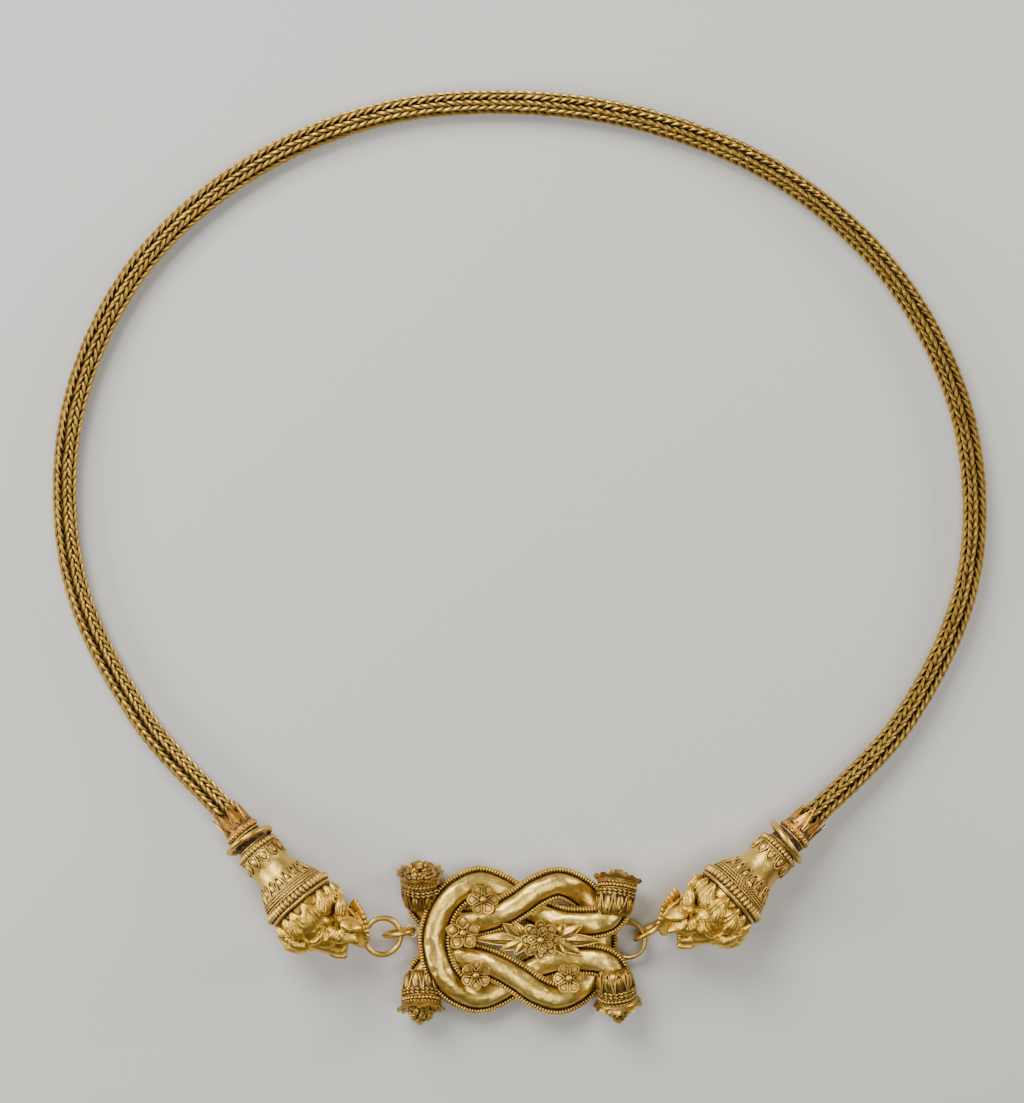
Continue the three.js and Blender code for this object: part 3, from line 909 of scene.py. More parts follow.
@dataclass
class Chain:
    """The loop-in-loop chain: five rows of chevrons of drawn wire round a hidden core.

    Attributes:
        leg: How long the visible leg of a loop is.
        groove: Where the groove between two rows is, in degrees from the top.
        end_inside: How far the chain goes on inside a terminal.
        route: The angle and distance from the ring's centre of the places that it passes.
        row_shift, hand_shift: How far a row, and one side of a row, is shifted along, in pitches.
        unevenness, lean: How much the loops differ in place and thickness, and in lean, in degrees.
        spread, bow: How far a leg reaches over its half row, and how much it is bowed.
        twist, twist_run: How far the chain twists, in degrees, and over what length.
        depth, swell: A leg's distance from the middle line, and its thickness, from tip to root.
    """

    radius: float = CHAIN_RADIUS
    wire_radius: float = 0.315
    pitch: float = 1.5
    leg: float = 2.6
    rows: int = 5
    groove: float = 12.0
    end_inside: float = 4.0
    ring_centre: Pair = (0.0, 9.9)
    route: tuple[Pair, ...] = (
        (-30, 75.5), (-10, 77.6), (10, 76.9), (30, 74.3), (50, 71.1), (70, 68.3), (90, 67.7),
        (110, 69.8), (130, 72.9), (150, 76.2), (170, 77.6), (190, 77.0), (210, 74.3),
    )
    stations: int = 1600
    core_stations: int = 220
    core_radius: float = 1.1
    core_sides: int = 8
    segments: int = 6
    sides: int = 6
    row_shift: float = 0.4
    hand_shift: float = 0.1
    unevenness: float = 0.05
    lean: float = 1.6
    spread: float = 0.86
    bow: float = 0.07
    twist: float = 9.0
    twist_run: float = 31.0
    depth_at: tuple[float, ...] = (0, 0.2, 0.4, 0.6, 0.8, 1)
    depth: tuple[float, ...] = (1.38, 1.68, 1.82, 1.78, 1.58, 1.12)
    swell_at: tuple[float, ...] = (0, 0.2, 0.5, 0.8, 1)
    swell: tuple[float, ...] = (0.7, 1.0, 1.02, 0.95, 0.7)

    def line(self) -> np.ndarray:
        """The chain's middle line, from the right terminal over the top to the left one.

        Returns:
            The line's places.
        """
        points = [RIGHT_PLACE.along(self.end_inside), RIGHT_PLACE.along(0)]
        for degrees, distance in self.route:
            angle = math.radians(degrees)
            points.append((self.ring_centre[0] + distance * math.cos(angle),
                           self.ring_centre[1] + distance * math.sin(angle), self.radius))
        points += [LEFT_PLACE.along(0), LEFT_PLACE.along(self.end_inside)]
        return smooth_route(points)

    def strands(self, line: np.ndarray) -> Shell:
        """Every visible leg of every loop, as one tapering bent rod each.

        Args:
            line: The chain's middle line.

        Returns:
            The legs' closed shells.
        """
        random = np.random.default_rng(SEED)
        length = line_length(line)
        track = Track.level(line, self.stations)
        along = np.linspace(0, length, self.stations)
        count = int((length - self.leg) / self.pitch)
        t = np.linspace(0, 1, self.segments + 1)
        bend = self.spread * (t + self.bow * np.sin(2 * np.pi * t))
        deep = np.interp(t, self.depth_at, self.depth)
        shape = np.interp(t, self.swell_at, self.swell)
        half_row = math.pi / self.rows
        lines, radii = [], []
        for row in range(self.rows):
            middle = math.radians(self.groove) + half_row * (2 * row + 1)
            for hand in (-1, 1):
                tips = (np.arange(count) + self.row_shift * row + self.hand_shift * hand) * self.pitch
                tips = tips + random.normal(0, self.unevenness, count)
                lean = random.normal(0, math.radians(self.lean), count)
                thick = 1 + random.normal(0, self.unevenness, count)
                distance = np.clip(tips[:, None] + self.leg * t[None, :], 0, length)
                angle = middle + lean[:, None] + hand * half_row * bend[None, :]
                angle = angle + math.radians(self.twist) * np.sin(distance / self.twist_run)
                at, across, over = (
                    np.stack([np.interp(distance, along, places[:, k]) for k in range(3)], axis=-1)
                    for places in (track.points, track.sides, track.ups))
                way = across * np.sin(angle)[..., None] + over * np.cos(angle)[..., None]
                lines.append(at + way * deep[:, None])
                radii.append(self.wire_radius * thick[:, None] * shape[None, :])
        return self._rods(np.concatenate(lines), np.concatenate(radii))

    def _rods(self, lines: np.ndarray, radii: np.ndarray) -> Shell:
        """Round rods along many short lines at once.

        Args:
            lines: Rod by station by coordinate.
            radii: Rod by station.

        Returns:
            The rods' closed shells.
        """
        rods, stations = radii.shape
        tangents = unit(np.gradient(lines, axis=1))
        sides = unit(np.cross(tangents, [0.13, 0.21, 1.0]))
        ups = np.cross(sides, tangents)
        angles = 2 * np.pi * np.arange(self.sides) / self.sides
        ring = sides[:, :, None] * np.cos(angles)[:, None] + ups[:, :, None] * np.sin(angles)[:, None]
        corners = lines[:, :, None] + ring * radii[:, :, None, None]
        grid = np.arange(rods * stations * self.sides).reshape(rods, stations, self.sides)
        near, far = grid[:, :-1], grid[:, 1:]
        quads = np.stack([near, np.roll(near, -1, axis=2), np.roll(far, -1, axis=2), far], axis=-1)
        faces = [quads.reshape(-1, 4), grid[:, 0, ::-1], grid[:, -1]]
        return Shell(corners.reshape(-1, 3), faces).outward()

    def build(self, shop: Workshop) -> None:
        """Builds the chain.

        Args:
            shop: The workshop that finishes it.
        """
        line = self.line()
        core = swept(Track.level(line, self.core_stations), circle(self.core_radius, self.core_sides))
        shop.settle("woven_chain", joined([core, self.strands(line)]), CHAIN_GOLD, "chain")


def wrapped(flat: np.ndarray, radius: Callable[[np.ndarray], np.ndarray]) -> np.ndarray:
    """Lays flat places round the X axis.

    Args:
        flat: Distance along the axis, angle round it in radians, and height over the surface.
        radius: The surface's radius at a distance.

    Returns:
        The places in space.
    """
    reach = radius(flat[..., 0]) + flat[..., 2]
    return np.stack([flat[..., 0], reach * np.cos(flat[..., 1]), reach * np.sin(flat[..., 1])], axis=-1)


def tongue_line(tip: float, base: float, half: float, height: float, point: float = 1.0,
                places: int = 9) -> np.ndarray:
    """The outline of one pointed tongue, flat.

    Args:
        tip: Where its tip is along the axis.
        base: Where it ends.
        half: Half of its width at the base, as an angle.
        height: The height over the surface.
        point: Above one, the tip is sharper.
        places: How many places each flank has.

    Returns:
        The outline's places.
    """
    t = np.linspace(0, 1, places)
    across = half * np.sin(t * np.pi / 2) ** point
    flank = np.stack([tip + (base - tip) * t, across, np.full(places, height)], axis=1)
    mirror = flank[1:][::-1] * [1, -1, 1]
    return np.vstack([mirror, flank])


@dataclass(frozen=True)
class TongueRow:
    """A row of wire-edged tongues round a turned surface, each with a raised drop in it.

    Attributes:
        tip, base: Where a tongue starts and ends along the axis.
        fill: How much of its share of the turn a tongue takes.
        height: The wire's height over the surface.
        point: Above one, the tips are sharper.
        places: How many places each flank has.
        edge, edge_sides: The wire's radius and its corners.
        drop_at, drop_size, drop_facets: Where a drop is, its half sizes, and how fine it is.
        offset: How far the row is turned, in tongues.
    """

    count: int
    tip: float
    base: float
    fill: float
    height: float
    point: float
    places: int
    edge: float
    edge_sides: int
    drop_at: float
    drop_size: Point
    drop_facets: tuple[int, int]
    offset: float = 0.0

    def shells(self, radius: Callable[[np.ndarray], np.ndarray]) -> list[Shell]:
        """The row's wires and drops.

        Args:
            radius: The surface's radius at a distance along the axis.

        Returns:
            Their closed shells.
        """
        seed = ball(*self.drop_facets)
        out = float(radius(np.array(self.drop_at)))
        half = math.pi / self.count * self.fill
        parts = []
        for k in range(self.count):
            turn = 2 * math.pi * (k + self.offset) / self.count
            outline = tongue_line(self.tip, self.base, half, self.height, self.point, self.places)
            outline[:, 1] += turn
            parts.append(wire(wrapped(outline, radius), self.edge, Wire.PLAIN, sides=self.edge_sides))
            place = Matrix.Rotation(turn, 4, "X") @ Matrix.Translation((self.drop_at, out, 0))
            parts.append(seed.moved(place @ Matrix.Diagonal((*self.drop_size, 1))))
        return parts


CAP_BORE = CHAIN_RADIUS + 2 * FIT_GAP


@dataclass
class LeafCap:
    """The collar of pointed leaves that grips the chain's end.

    Attributes:
        leaf_fill, edge_fill: How much of its share of the turn a leaf, and its edging, takes.
        leaf_grid: How many places a leaf has along and across.
        widest_at, narrowing: Where a leaf is widest, as a share of its length, and how it narrows.
        edge_from, edge_over, edge_rise: Where a leaf's edge starts to rise, how fast and how far.
        inside: The height of a leaf's underside over the bore.
        thickness, belly, rib, rib_width: How thick and how full a leaf is, and the rib along its middle.
        edging: The edging wire's tip, height, sharpness and radius.
    """

    leaves: int = 7
    leaf_length: float = 4.3
    leaf_fill: float = 0.88
    edge_fill: float = 0.86
    leaf_grid: tuple[int, int] = (13, 11)
    widest_at: float = 1.2
    narrowing: float = 0.75
    tip_half: float = 0.015
    edge_from: float = 0.62
    edge_over: float = 0.25
    edge_rise: float = 0.12
    inside: float = 0.02
    thickness: float = 0.16
    belly: float = 0.12
    rib: float = 0.06
    rib_width: float = 0.12
    edging: tuple[float, float, float, float] = (0.15, 0.28, 0.85, 0.14)
    collar_steps: int = 56
    collar: tuple[Pair, ...] = (
        (2.2, CAP_BORE), (2.2, CAP_BORE + 0.18), (4.3, CAP_BORE + 0.3), (4.45, 2.9), (5.3, 2.9),
        (5.3, 0.0), (4.35, 0.0), (4.35, CAP_BORE), (2.2, CAP_BORE),
    )
    bands: tuple[Band, ...] = (Band(4.88, 2.74, 0.46, Wire.BEADED, 0.76), Band(4.42, 2.72, 0.16))

    def bore(self, along: np.ndarray) -> np.ndarray:
        """The bore's radius, the same at every distance."""
        return CAP_BORE + 0 * along

    def leaf(self) -> Shell:
        """One leaf round the X axis, its tip at the chain, with raised edges and a middle rib.

        Returns:
            The closed shell.
        """
        rows, columns = self.leaf_grid
        along, across = np.meshgrid(np.linspace(0, 1, rows), np.linspace(-1, 1, columns), indexing="ij")
        share = np.pi / self.leaves * self.leaf_fill
        half = np.maximum(share * np.clip(along * self.widest_at, 0, 1) ** self.narrowing, self.tip_half)
        edge = np.clip((np.abs(across) - self.edge_from) / self.edge_over, 0, 1)
        swell = self.belly * (1 - across**2) * np.sin(np.pi * np.clip(along, self.inside, 1)) ** 0.5
        rib = self.rib * np.exp(-((across / self.rib_width) ** 2))
        height = self.thickness + self.edge_rise * edge + swell + rib
        low = np.full_like(height, self.inside)
        outer, inner = (
            wrapped(np.stack([along * self.leaf_length, across * half, level], axis=-1), self.bore)
            for level in (height, low))
        return sheet_between(outer, inner)

    def shell(self) -> Shell:
        """The whole cap, in the terminal's frame.

        Returns:
            The closed shells of its pieces.
        """
        tip, height, point, radius = self.edging
        edge = tongue_line(tip, self.leaf_length, math.pi / self.leaves * self.edge_fill, height, point)
        leaf = joined([self.leaf(), wire(wrapped(edge, self.bore), radius, Wire.PLAIN, sides=6)])
        parts = []
        for k in range(self.leaves):
            parts.append(leaf.moved(Matrix.Rotation(2 * math.pi * (k + 0.5) / self.leaves, 4, "X")))
        parts.append(turned(self.collar, self.collar_steps))
        parts += [band.shell() for band in self.bands]
        return joined(parts)


def sheet_between(top: np.ndarray, bottom: np.ndarray) -> Shell:
    """A closed shell between two grids of places with the same rows and columns.

    Args:
        top: The outer grid.
        bottom: The inner grid.

    Returns:
        The closed shell.
    """
    rows, columns = top.shape[:2]
    upper = np.arange(rows * columns).reshape(rows, columns)
    lower = upper + rows * columns
    faces = [
        np.stack([upper[:-1, :-1], upper[1:, :-1], upper[1:, 1:], upper[:-1, 1:]], axis=-1).reshape(-1, 4),
        np.stack([lower[:-1, :-1], lower[:-1, 1:], lower[1:, 1:], lower[1:, :-1]], axis=-1).reshape(-1, 4),
    ]
    rim_up = np.concatenate([upper[0, :-1], upper[:-1, -1], upper[-1, :0:-1], upper[:0:-1, 0]])
    rim_low = rim_up + rows * columns
    faces.append(np.stack([rim_up, np.roll(rim_up, -1), np.roll(rim_low, -1), rim_low], axis=-1))
    return Shell(np.concatenate([top.reshape(-1, 3), bottom.reshape(-1, 3)]), faces).outward()


@dataclass
class Sleeve:
    """The sheet cone from the neck to the beaded band behind the lion's head.

    Attributes:
        profile: Distance along the axis and radius of the sheet, from the neck to the band.
        sheet: Where the cone's sheet starts and ends.
        plain: Between which distances the sheet is bare, and over what length its dents fade.
        dents: Each dent's depth, place along and round, and half sizes.
        waviness: How much the bare sheet waves.
    """

    band_at: float = 20.1
    profile: tuple[Pair, ...] = (
        (5.4, 0.0), (5.4, 2.72), (8.3, 2.72), (8.5, 3.3), (9.4, 3.5), (10.0, 3.72), (10.6, 3.66),
        (11.3, 3.56), (12.5, 3.52), (13.8, 3.64), (14.8, 3.86), (15.6, 4.2), (16.4, 4.62), (17.2, 5.05),
        (18.0, 5.4), (18.9, 5.65), (19.3, 5.75), (20.95, 5.75), (20.95, 0.0),
    )
    sheet: Pair = (8.5, 19.3)
    sheet_rows: int = 44
    sheet_steps: int = 72
    plain: tuple[float, float, float] = (10.8, 16.2, 1.2)
    dents: tuple[tuple[float, float, float, float, float], ...] = (
        (0.16, 13.6, 1.9, 1.3, 0.5), (0.12, 12.6, -1.7, 1.0, 0.6))
    waviness: float = 0.05
    bands: tuple[Band, ...] = (
        Band(8.48, 3.3, 0.2),
        Band(8.9, 3.42, 0.56, Wire.BEADED, 0.66),
        Band(9.56, 3.62, 0.13),
        Band(17.35, 5.16, 0.2, Wire.ROPE, 0.5),
        Band(17.8, 5.34, 0.22, Wire.ROPE, 0.5),
        Band(18.25, 5.52, 0.22, Wire.ROPE, 0.5),
        Band(18.72, 5.66, 0.16),
        Band(19.6, 5.72, 0.8, Wire.BEADED, 0.8, 10),
        Band(20.62, 5.84, 0.27),
    )
    neck_bands: tuple[Band, ...] = (Band(5.65, 2.72, 0.17), Band(7.95, 2.72, 0.17), Band(8.25, 2.72, 0.17))
    tongues: TongueRow = TongueRow(
        count=17, tip=14.8, base=17.2, fill=0.86, height=0.14, point=0.62, places=9, edge=0.15,
        edge_sides=6, drop_at=16.35, drop_size=(0.8, 0.2, 0.42), drop_facets=(10, 6), offset=0.5)
    scales: TongueRow = TongueRow(
        count=11, tip=11.85, base=9.7, fill=0.84, height=0.13, point=0.5, places=7, edge=0.15,
        edge_sides=6, drop_at=10.65, drop_size=(0.78, 0.3, 0.58), drop_facets=(10, 6))

    def radius(self, along: np.ndarray) -> np.ndarray:
        """The cone's radius at a distance along the axis."""
        xs, rs = zip(*self.profile[1:-1])
        return np.interp(along, xs, rs)

    def body(self) -> Shell:
        """The dented sheet of the cone.

        Returns:
            The closed shell.
        """
        rows = [(x, float(self.radius(np.array(x)))) for x in np.linspace(*self.sheet, self.sheet_rows)]
        shell = turned([*self.profile[:3], *rows, *self.profile[-2:]], self.sheet_steps)
        x, y, z = shell.corners.T
        angle = np.arctan2(z, y)
        start, end, fade = self.plain
        bare = np.clip((x - start) / fade, 0, 1) * np.clip((end - x) / fade, 0, 1)
        dent = np.zeros(len(x))
        for depth, along, turn, long, wide in self.dents:
            dent -= depth * np.exp(-(((x - along) / long) ** 2 + ((angle - turn) / wide) ** 2))
        dent += self.waviness * np.sin(2 * angle + x) * bare
        reach = np.maximum(np.hypot(y, z), 0.01)
        scale = np.where(reach > 1, 1 + dent * bare / reach, 1)
        shell.corners[:, 1:] *= scale[:, None]
        return shell

    def shell(self) -> Shell:
        """The whole sleeve, in the terminal's frame.

        Returns:
            The closed shells of its pieces.
        """
        bands, neck = ([band.shell() for band in row] for row in (self.bands, self.neck_bands))
        tongues = [*self.tongues.shells(self.radius), *self.scales.shells(self.radius)]
        return joined([self.body(), *bands, *tongues, *neck])


def seen(along: float, across: float, near: float) -> Point:
    """A place on the head as the camera sees it.

    Args:
        along: Distance from the band along the axis.
        across: Distance across the axis, to the ring's side.
        near: Height towards the camera.

    Returns:
        Its place along, to the crown and to the near side.
    """
    turn = math.radians(CROWN_TURN)
    crown = -math.cos(turn) * across + math.sin(turn) * near
    side = math.sin(turn) * across + math.cos(turn) * near
    return (along, crown, side)


# A lock's stations and corners, its width and depth at the root, where it is widest, its ridges' height,
# and what is left of it at the tip
LOCK_STATIONS = 15
LOCK_CORNERS = 56
ROOT_WIDTH = 0.72
ROOT_DEPTH = 0.75
WIDEST_AT = 0.8
RIDGE = 0.2
TIP_HALF = 0.05
TIP_DEPTH = 0.06


@dataclass(frozen=True)
class Lock:
    """A lock of the mane or beard: a puffed blade with ridges from its root to its tip.

    Attributes:
        arch, curl: How high its middle and its tip rise.
        blunt: The higher, the blunter its tip.
        middle: The place from which it grows outward.
    """

    root: Point
    tip: Point
    width: float
    thick: float = 0.9
    ridges: int = 5
    arch: float = 0.35
    curl: float = 0.0
    blunt: float = 2.0
    middle: Point = (4.5, 0.0, 0.0)

    def shell(self) -> Shell:
        """The lock's closed shell, which the sculpting melts into the head.

        Returns:
            The shell.
        """
        root, tip = np.array(self.root), np.array(self.tip)
        way = unit(tip - root)
        out = (root + tip) / 2 - np.array(self.middle)
        out = unit(out - way * float(out @ way))
        t = np.linspace(0, 1, LOCK_STATIONS)
        rise = self.arch * 4 * t * (1 - t) + self.curl * t**2
        spine = root + (tip - root) * t[:, None] + out * rise[:, None]
        tangents = unit(np.gradient(spine, axis=0))
        sides = np.broadcast_to(np.cross(way, out), spine.shape)
        track = Track(spine, sides, unit(np.cross(sides, tangents)))
        fade = np.maximum(1 - t**self.blunt, 0.0)
        plump = ROOT_WIDTH + (1 - ROOT_WIDTH) * np.sin(np.pi * np.clip(t / WIDEST_AT, 0, 1))
        half = self.width / 2 * plump * fade**0.65 + TIP_HALF
        full = ROOT_DEPTH + (1 - ROOT_DEPTH) * np.sin(np.pi * t)
        deep = self.thick * full * fade**0.5 + TIP_DEPTH
        angles = 2 * np.pi * np.arange(LOCK_CORNERS) / LOCK_CORNERS
        ridge = 1 + RIDGE * np.cos(np.pi * self.ridges * np.cos(angles)) * np.abs(np.sin(angles))
        across = half[:, None] * np.cos(angles)[None, :]
        high = deep[:, None] * (np.sin(angles) * ridge)[None, :]
        return swept(track, np.stack([across, -high], axis=-1))


LUMP_FACETS = (24, 16)
BAR_STATIONS = 6
BAR_CORNERS = 12
JAW_MIDDLE = (8.1, 0.0, 0.0)


def lump(place: Point, size: Point, lean: float = 0.0) -> Shell:
    """A rounded lump.

    Args:
        place: Its middle along, to the crown and to the side.
        size: Its half sizes.
        lean: How far it leans in the plane of the axis and the crown, in radians.

    Returns:
        The closed shell.
    """
    matrix = Matrix.Translation(place) @ Matrix.Rotation(lean, 4, "Z") @ Matrix.Diagonal((*size, 1))
    return ball(*LUMP_FACETS).moved(matrix)


def bar(points: Sequence[Point], radii: Sequence[float]) -> Shell:
    """A tapering bar through a few points.

    Args:
        points: The points.
        radii: The radius at each.

    Returns:
        The closed shell.
    """
    line = smooth_route(points, BAR_STATIONS)
    spread = np.interp(np.linspace(0, len(points) - 1, len(line)), range(len(points)), radii)
    return swept(Track.carried(line), circle(spread, BAR_CORNERS))


@dataclass
class LionHead:
    """A chased lion head: mane, brows, muzzle, open jaws and a fringed beard.

    Distances run along the axis from the band, then to the crown, then to the side.

    Attributes:
        voxel: How fine the clay is.
        mane_root, mane_tip: Where the mane's locks start and end, along and out.
        mane_play: How much their lean, in radians, and their reach differ.
        mane_cut: Their width, thickness, ridges, arch, curl and bluntness, as in fringe_cut.
        fringe_span: How far round the jaw the fringe goes to each side, in degrees.
        fringe_drop: How far it comes down towards the back.
        fringe_root, fringe_tip: Reach to the front, height, share of the drop, and reach to the side.
        mirrored: The locks of the near side, which the far side repeats.
        crest: The locks on the middle line.
        pits: Place, size and depth of the eye corners, the hollows behind them and the nostrils.
        pad_at, pad_size: The cheek on which the whisker lines lie.
        whiskers_from, whisker_stretch: What the whisker lines run round, and how long they are drawn.
    """

    voxel: float = 0.115
    mane_count: int = 14
    mane_root: Pair = (4.9, 4.3)
    mane_tip: Pair = (0.95, 5.75)
    mane_play: Pair = (0.1, 0.25)
    mane_cut: tuple[float, float, int, float, float, float] = (3.1, 1.0, 5, 0.5, 0.0, 3.5)
    fringe_count: int = 23
    fringe_span: float = 115.0
    fringe_drop: float = 2.3
    fringe_root: tuple[float, float, float, float] = (2.6, 4.2, 0.6, 2.3)
    fringe_tip: tuple[float, float, float, float] = (4.9, 4.3, 1.15, 4.7)
    fringe_play: float = 0.03
    fringe_cut: tuple[float, float, int, float, float, float] = (1.55, 0.5, 3, 0.12, -0.1, 5.0)
    pits: tuple[tuple[float, float, float, float, float], ...] = (
        (7.4, 2.7, 1.2, 0.5, 0.6), (8.75, 1.7, 1.75, 0.4, 0.4), (7.0, 1.9, 2.9, 0.75, 0.6),
        (11.7, -0.3, 0.65, 0.3, 0.45),
    )
    pad_at: Point = (8.3, 0.0, 2.6)
    pad_size: Point = (1.9, 1.5, 1.5)
    whiskers_from: Pair = (5.2, 1.6)
    whisker_stretch: float = 1.15
    whisker_pitch: float = 0.42
    whisker_depth: float = 0.07
    softening: float = 0.5
    mirrored: tuple[Lock, ...] = (
        Lock(seen(4.7, 2.0, 4.5), seen(2.3, 4.3, 4.4), 2.6, 0.8, 5, 0.35, 0.25, 1.4),
        Lock(seen(5.3, -1.3, 4.8), seen(1.6, 1.1, 5.8), 3.3, 0.8, 6, 0.4, 0.25, 1.35),
        Lock(seen(5.2, -3.4, 4.3), seen(1.9, -2.3, 5.7), 2.9, 0.8, 5, 0.4, 0.25, 1.5),
        Lock(seen(6.9, -3.6, 3.4), seen(4.3, -6.6, 2.6), 2.8, 0.9, 7, 0.3, 0.2, 2.2),
        Lock(seen(6.7, 4.0, 3.2), seen(3.6, 6.2, 2.8), 2.7, 0.8, 5, 0.3, 0.25, 1.8),
        Lock(seen(8.3, 2.6, 2.5), seen(12.3, 2.9, 1.5), 3.0, 0.6, 9, 0.2, 0.1, 4.0, JAW_MIDDLE),
        Lock(seen(7.5, 3.4, 2.7), seen(10.9, 5.2, 1.6), 3.2, 0.6, 9, 0.2, 0.1, 4.0, JAW_MIDDLE),
    )
    crest: tuple[Lock, ...] = (
        Lock((6.7, 3.2, 0.0), (3.3, 6.6, 0.0), 2.8, 1.1, 5, 0.3, 0.3, 1.6),
        Lock((5.0, -4.2, 0.0), (2.8, -6.0, 0.0), 2.6, 1.0, 5),
    )

    def mane(self) -> list[Shell]:
        """The row of blunt locks that runs back to the band.

        Returns:
            The locks.
        """
        parts = []
        for k in range(self.mane_count):
            turn = 2 * math.pi * (k + 0.5) / self.mane_count
            lean = turn + self.mane_play[0] * math.cos(2.0 * k)
            out, reach = self.mane_root[1], self.mane_tip[1] + self.mane_play[1] * math.sin(3.0 * k)
            root = (self.mane_root[0], out * math.cos(turn), out * math.sin(turn))
            tip = (self.mane_tip[0], reach * math.cos(lean), reach * math.sin(lean))
            parts.append(Lock(root, tip, *self.mane_cut).shell())
        return parts

    def fringe(self) -> list[Shell]:
        """The short blunt locks round the jaw's edge.

        Returns:
            The locks.
        """
        parts = []
        for k in range(self.fringe_count):
            turn = math.radians(-self.fringe_span + 2 * self.fringe_span * k / (self.fringe_count - 1))
            drop = self.fringe_drop * (1 - math.cos(turn)) / 2
            play = 1 + self.fringe_play * math.sin(5.0 * k)
            root, tip = (
                (JAW_MIDDLE[0] + front * math.cos(turn) * share, -down - fall * drop,
                 out * math.sin(turn) * share)
                for (front, down, fall, out), share in ((self.fringe_root, 1.0), (self.fringe_tip, play)))
            parts.append(Lock(root, tip, *self.fringe_cut, JAW_MIDDLE).shell())
        return parts

    def face(self) -> list[Shell]:
        """The skull, brows, cheeks, muzzle and jaws.

        Returns:
            Their closed shells.
        """
        # The neck, the skull and its front, the bridge and tip of the nose, the lower jaw and the throat
        parts = [
            turned([(0.95, 0), (0.95, 5.3), (2.4, 5.2), (3.8, 4.8), (5.2, 3.6), (5.2, 0)], 40),
            lump((4.8, 0.8, 0), (3.5, 4.1, 4.2)),
            lump((7.0, 0.9, 0), (3.2, 2.8, 3.3), -0.5),
            bar([(6.2, 3.7, 0), (8.2, 2.5, 0), (10.0, 1.0, 0), (11.2, -0.1, 0)], [1.1, 1.0, 0.95, 0.9]),
            lump((11.15, -0.4, 0), (0.7, 0.85, 1.35), -0.6),
            lump((8.4, -4.25, 0), (4.3, 0.9, 3.9), 0.03),
            lump((6.6, -3.2, 0), (2.6, 2.2, 3.4)),
        ]
        # On each side the muzzle, the cheek, the jowl, the brow and the eye
        for hand in (-1, 1):
            parts += [
                lump((9.5, -0.9, 1.15 * hand), (1.75, 1.15, 1.15), -0.35),
                lump((8.5, 0.1, 2.4 * hand), (2.2, 1.6, 1.35), -0.45),
                lump((6.7, -1.9, 3.7 * hand), (1.7, 1.5, 1.2)),
                bar([(6.3, 4.0, 0.4 * hand), (7.3, 3.5, 1.5 * hand), (7.3, 2.7, 2.7 * hand),
                     (6.5, 1.6, 3.7 * hand)], [0.55, 0.6, 0.55, 0.4]),
                lump((8.0, 2.1, 1.85 * hand), (0.6, 0.5, 0.65), -0.7),
            ]
        return parts

    def hollows(self, corners: np.ndarray, normals: np.ndarray) -> np.ndarray:
        """Presses the eye corners, nostrils and whisker lines into the sculpted surface.

        Args:
            corners: The surface's places.
            normals: Their outward directions.

        Returns:
            The changed places.
        """
        a, u, s = corners.T
        s = np.abs(s)
        push = np.zeros(len(a))
        for along, crown, side, size, depth in self.pits:
            away = (a - along) ** 2 + (u - crown) ** 2 + (s - side) ** 2
            push -= depth * np.exp(-away / size**2)
        x, y, z = ((values - at) / size for values, at, size in zip((a, u, s), self.pad_at, self.pad_size))
        pad = np.exp(-((x**2 + y**2 + z**2) ** 2))
        reach = np.hypot((a - self.whiskers_from[0]) / self.whisker_stretch, u - self.whiskers_from[1])
        push -= self.whisker_depth * pad * (1 + np.cos(2 * np.pi * reach / self.whisker_pitch))
        return corners + normals * push[:, None]

    def shell(self) -> Shell:
        """The sculpted head in the terminal's frame, with its own near side at plus Z.

        Returns:
            The closed shell.
        """
        parts = [*self.face(), *self.mane(), *self.fringe()]
        parts += [lock.shell() for lock in (*self.crest, *self.mirrored)]
        mirror = Matrix.Diagonal((1, 1, -1, 1))
        parts += [lock.shell().moved(mirror) for lock in self.mirrored]
        head = object_of("head_clay", joined(parts))
        take_only(head)
        remesh = head.modifiers.new("melt", "REMESH")
        remesh.mode = "VOXEL"
        remesh.voxel_size = self.voxel * 1
        bpy.ops.object.modifier_apply(modifier="melt")
        soften = head.modifiers.new("soften", "SMOOTH")
        soften.factor = self.softening
        soften.iterations = 1
        bpy.ops.object.modifier_apply(modifier="soften")
        normals = np.zeros(len(head.data.vertices) * 3, np.float32)
        head.data.vertex_normals.foreach_get("vector", normals)
        shell = lifted(head)
        shell.corners = self.hollows(shell.corners, normals.reshape(-1, 3).astype(float))
        return shell


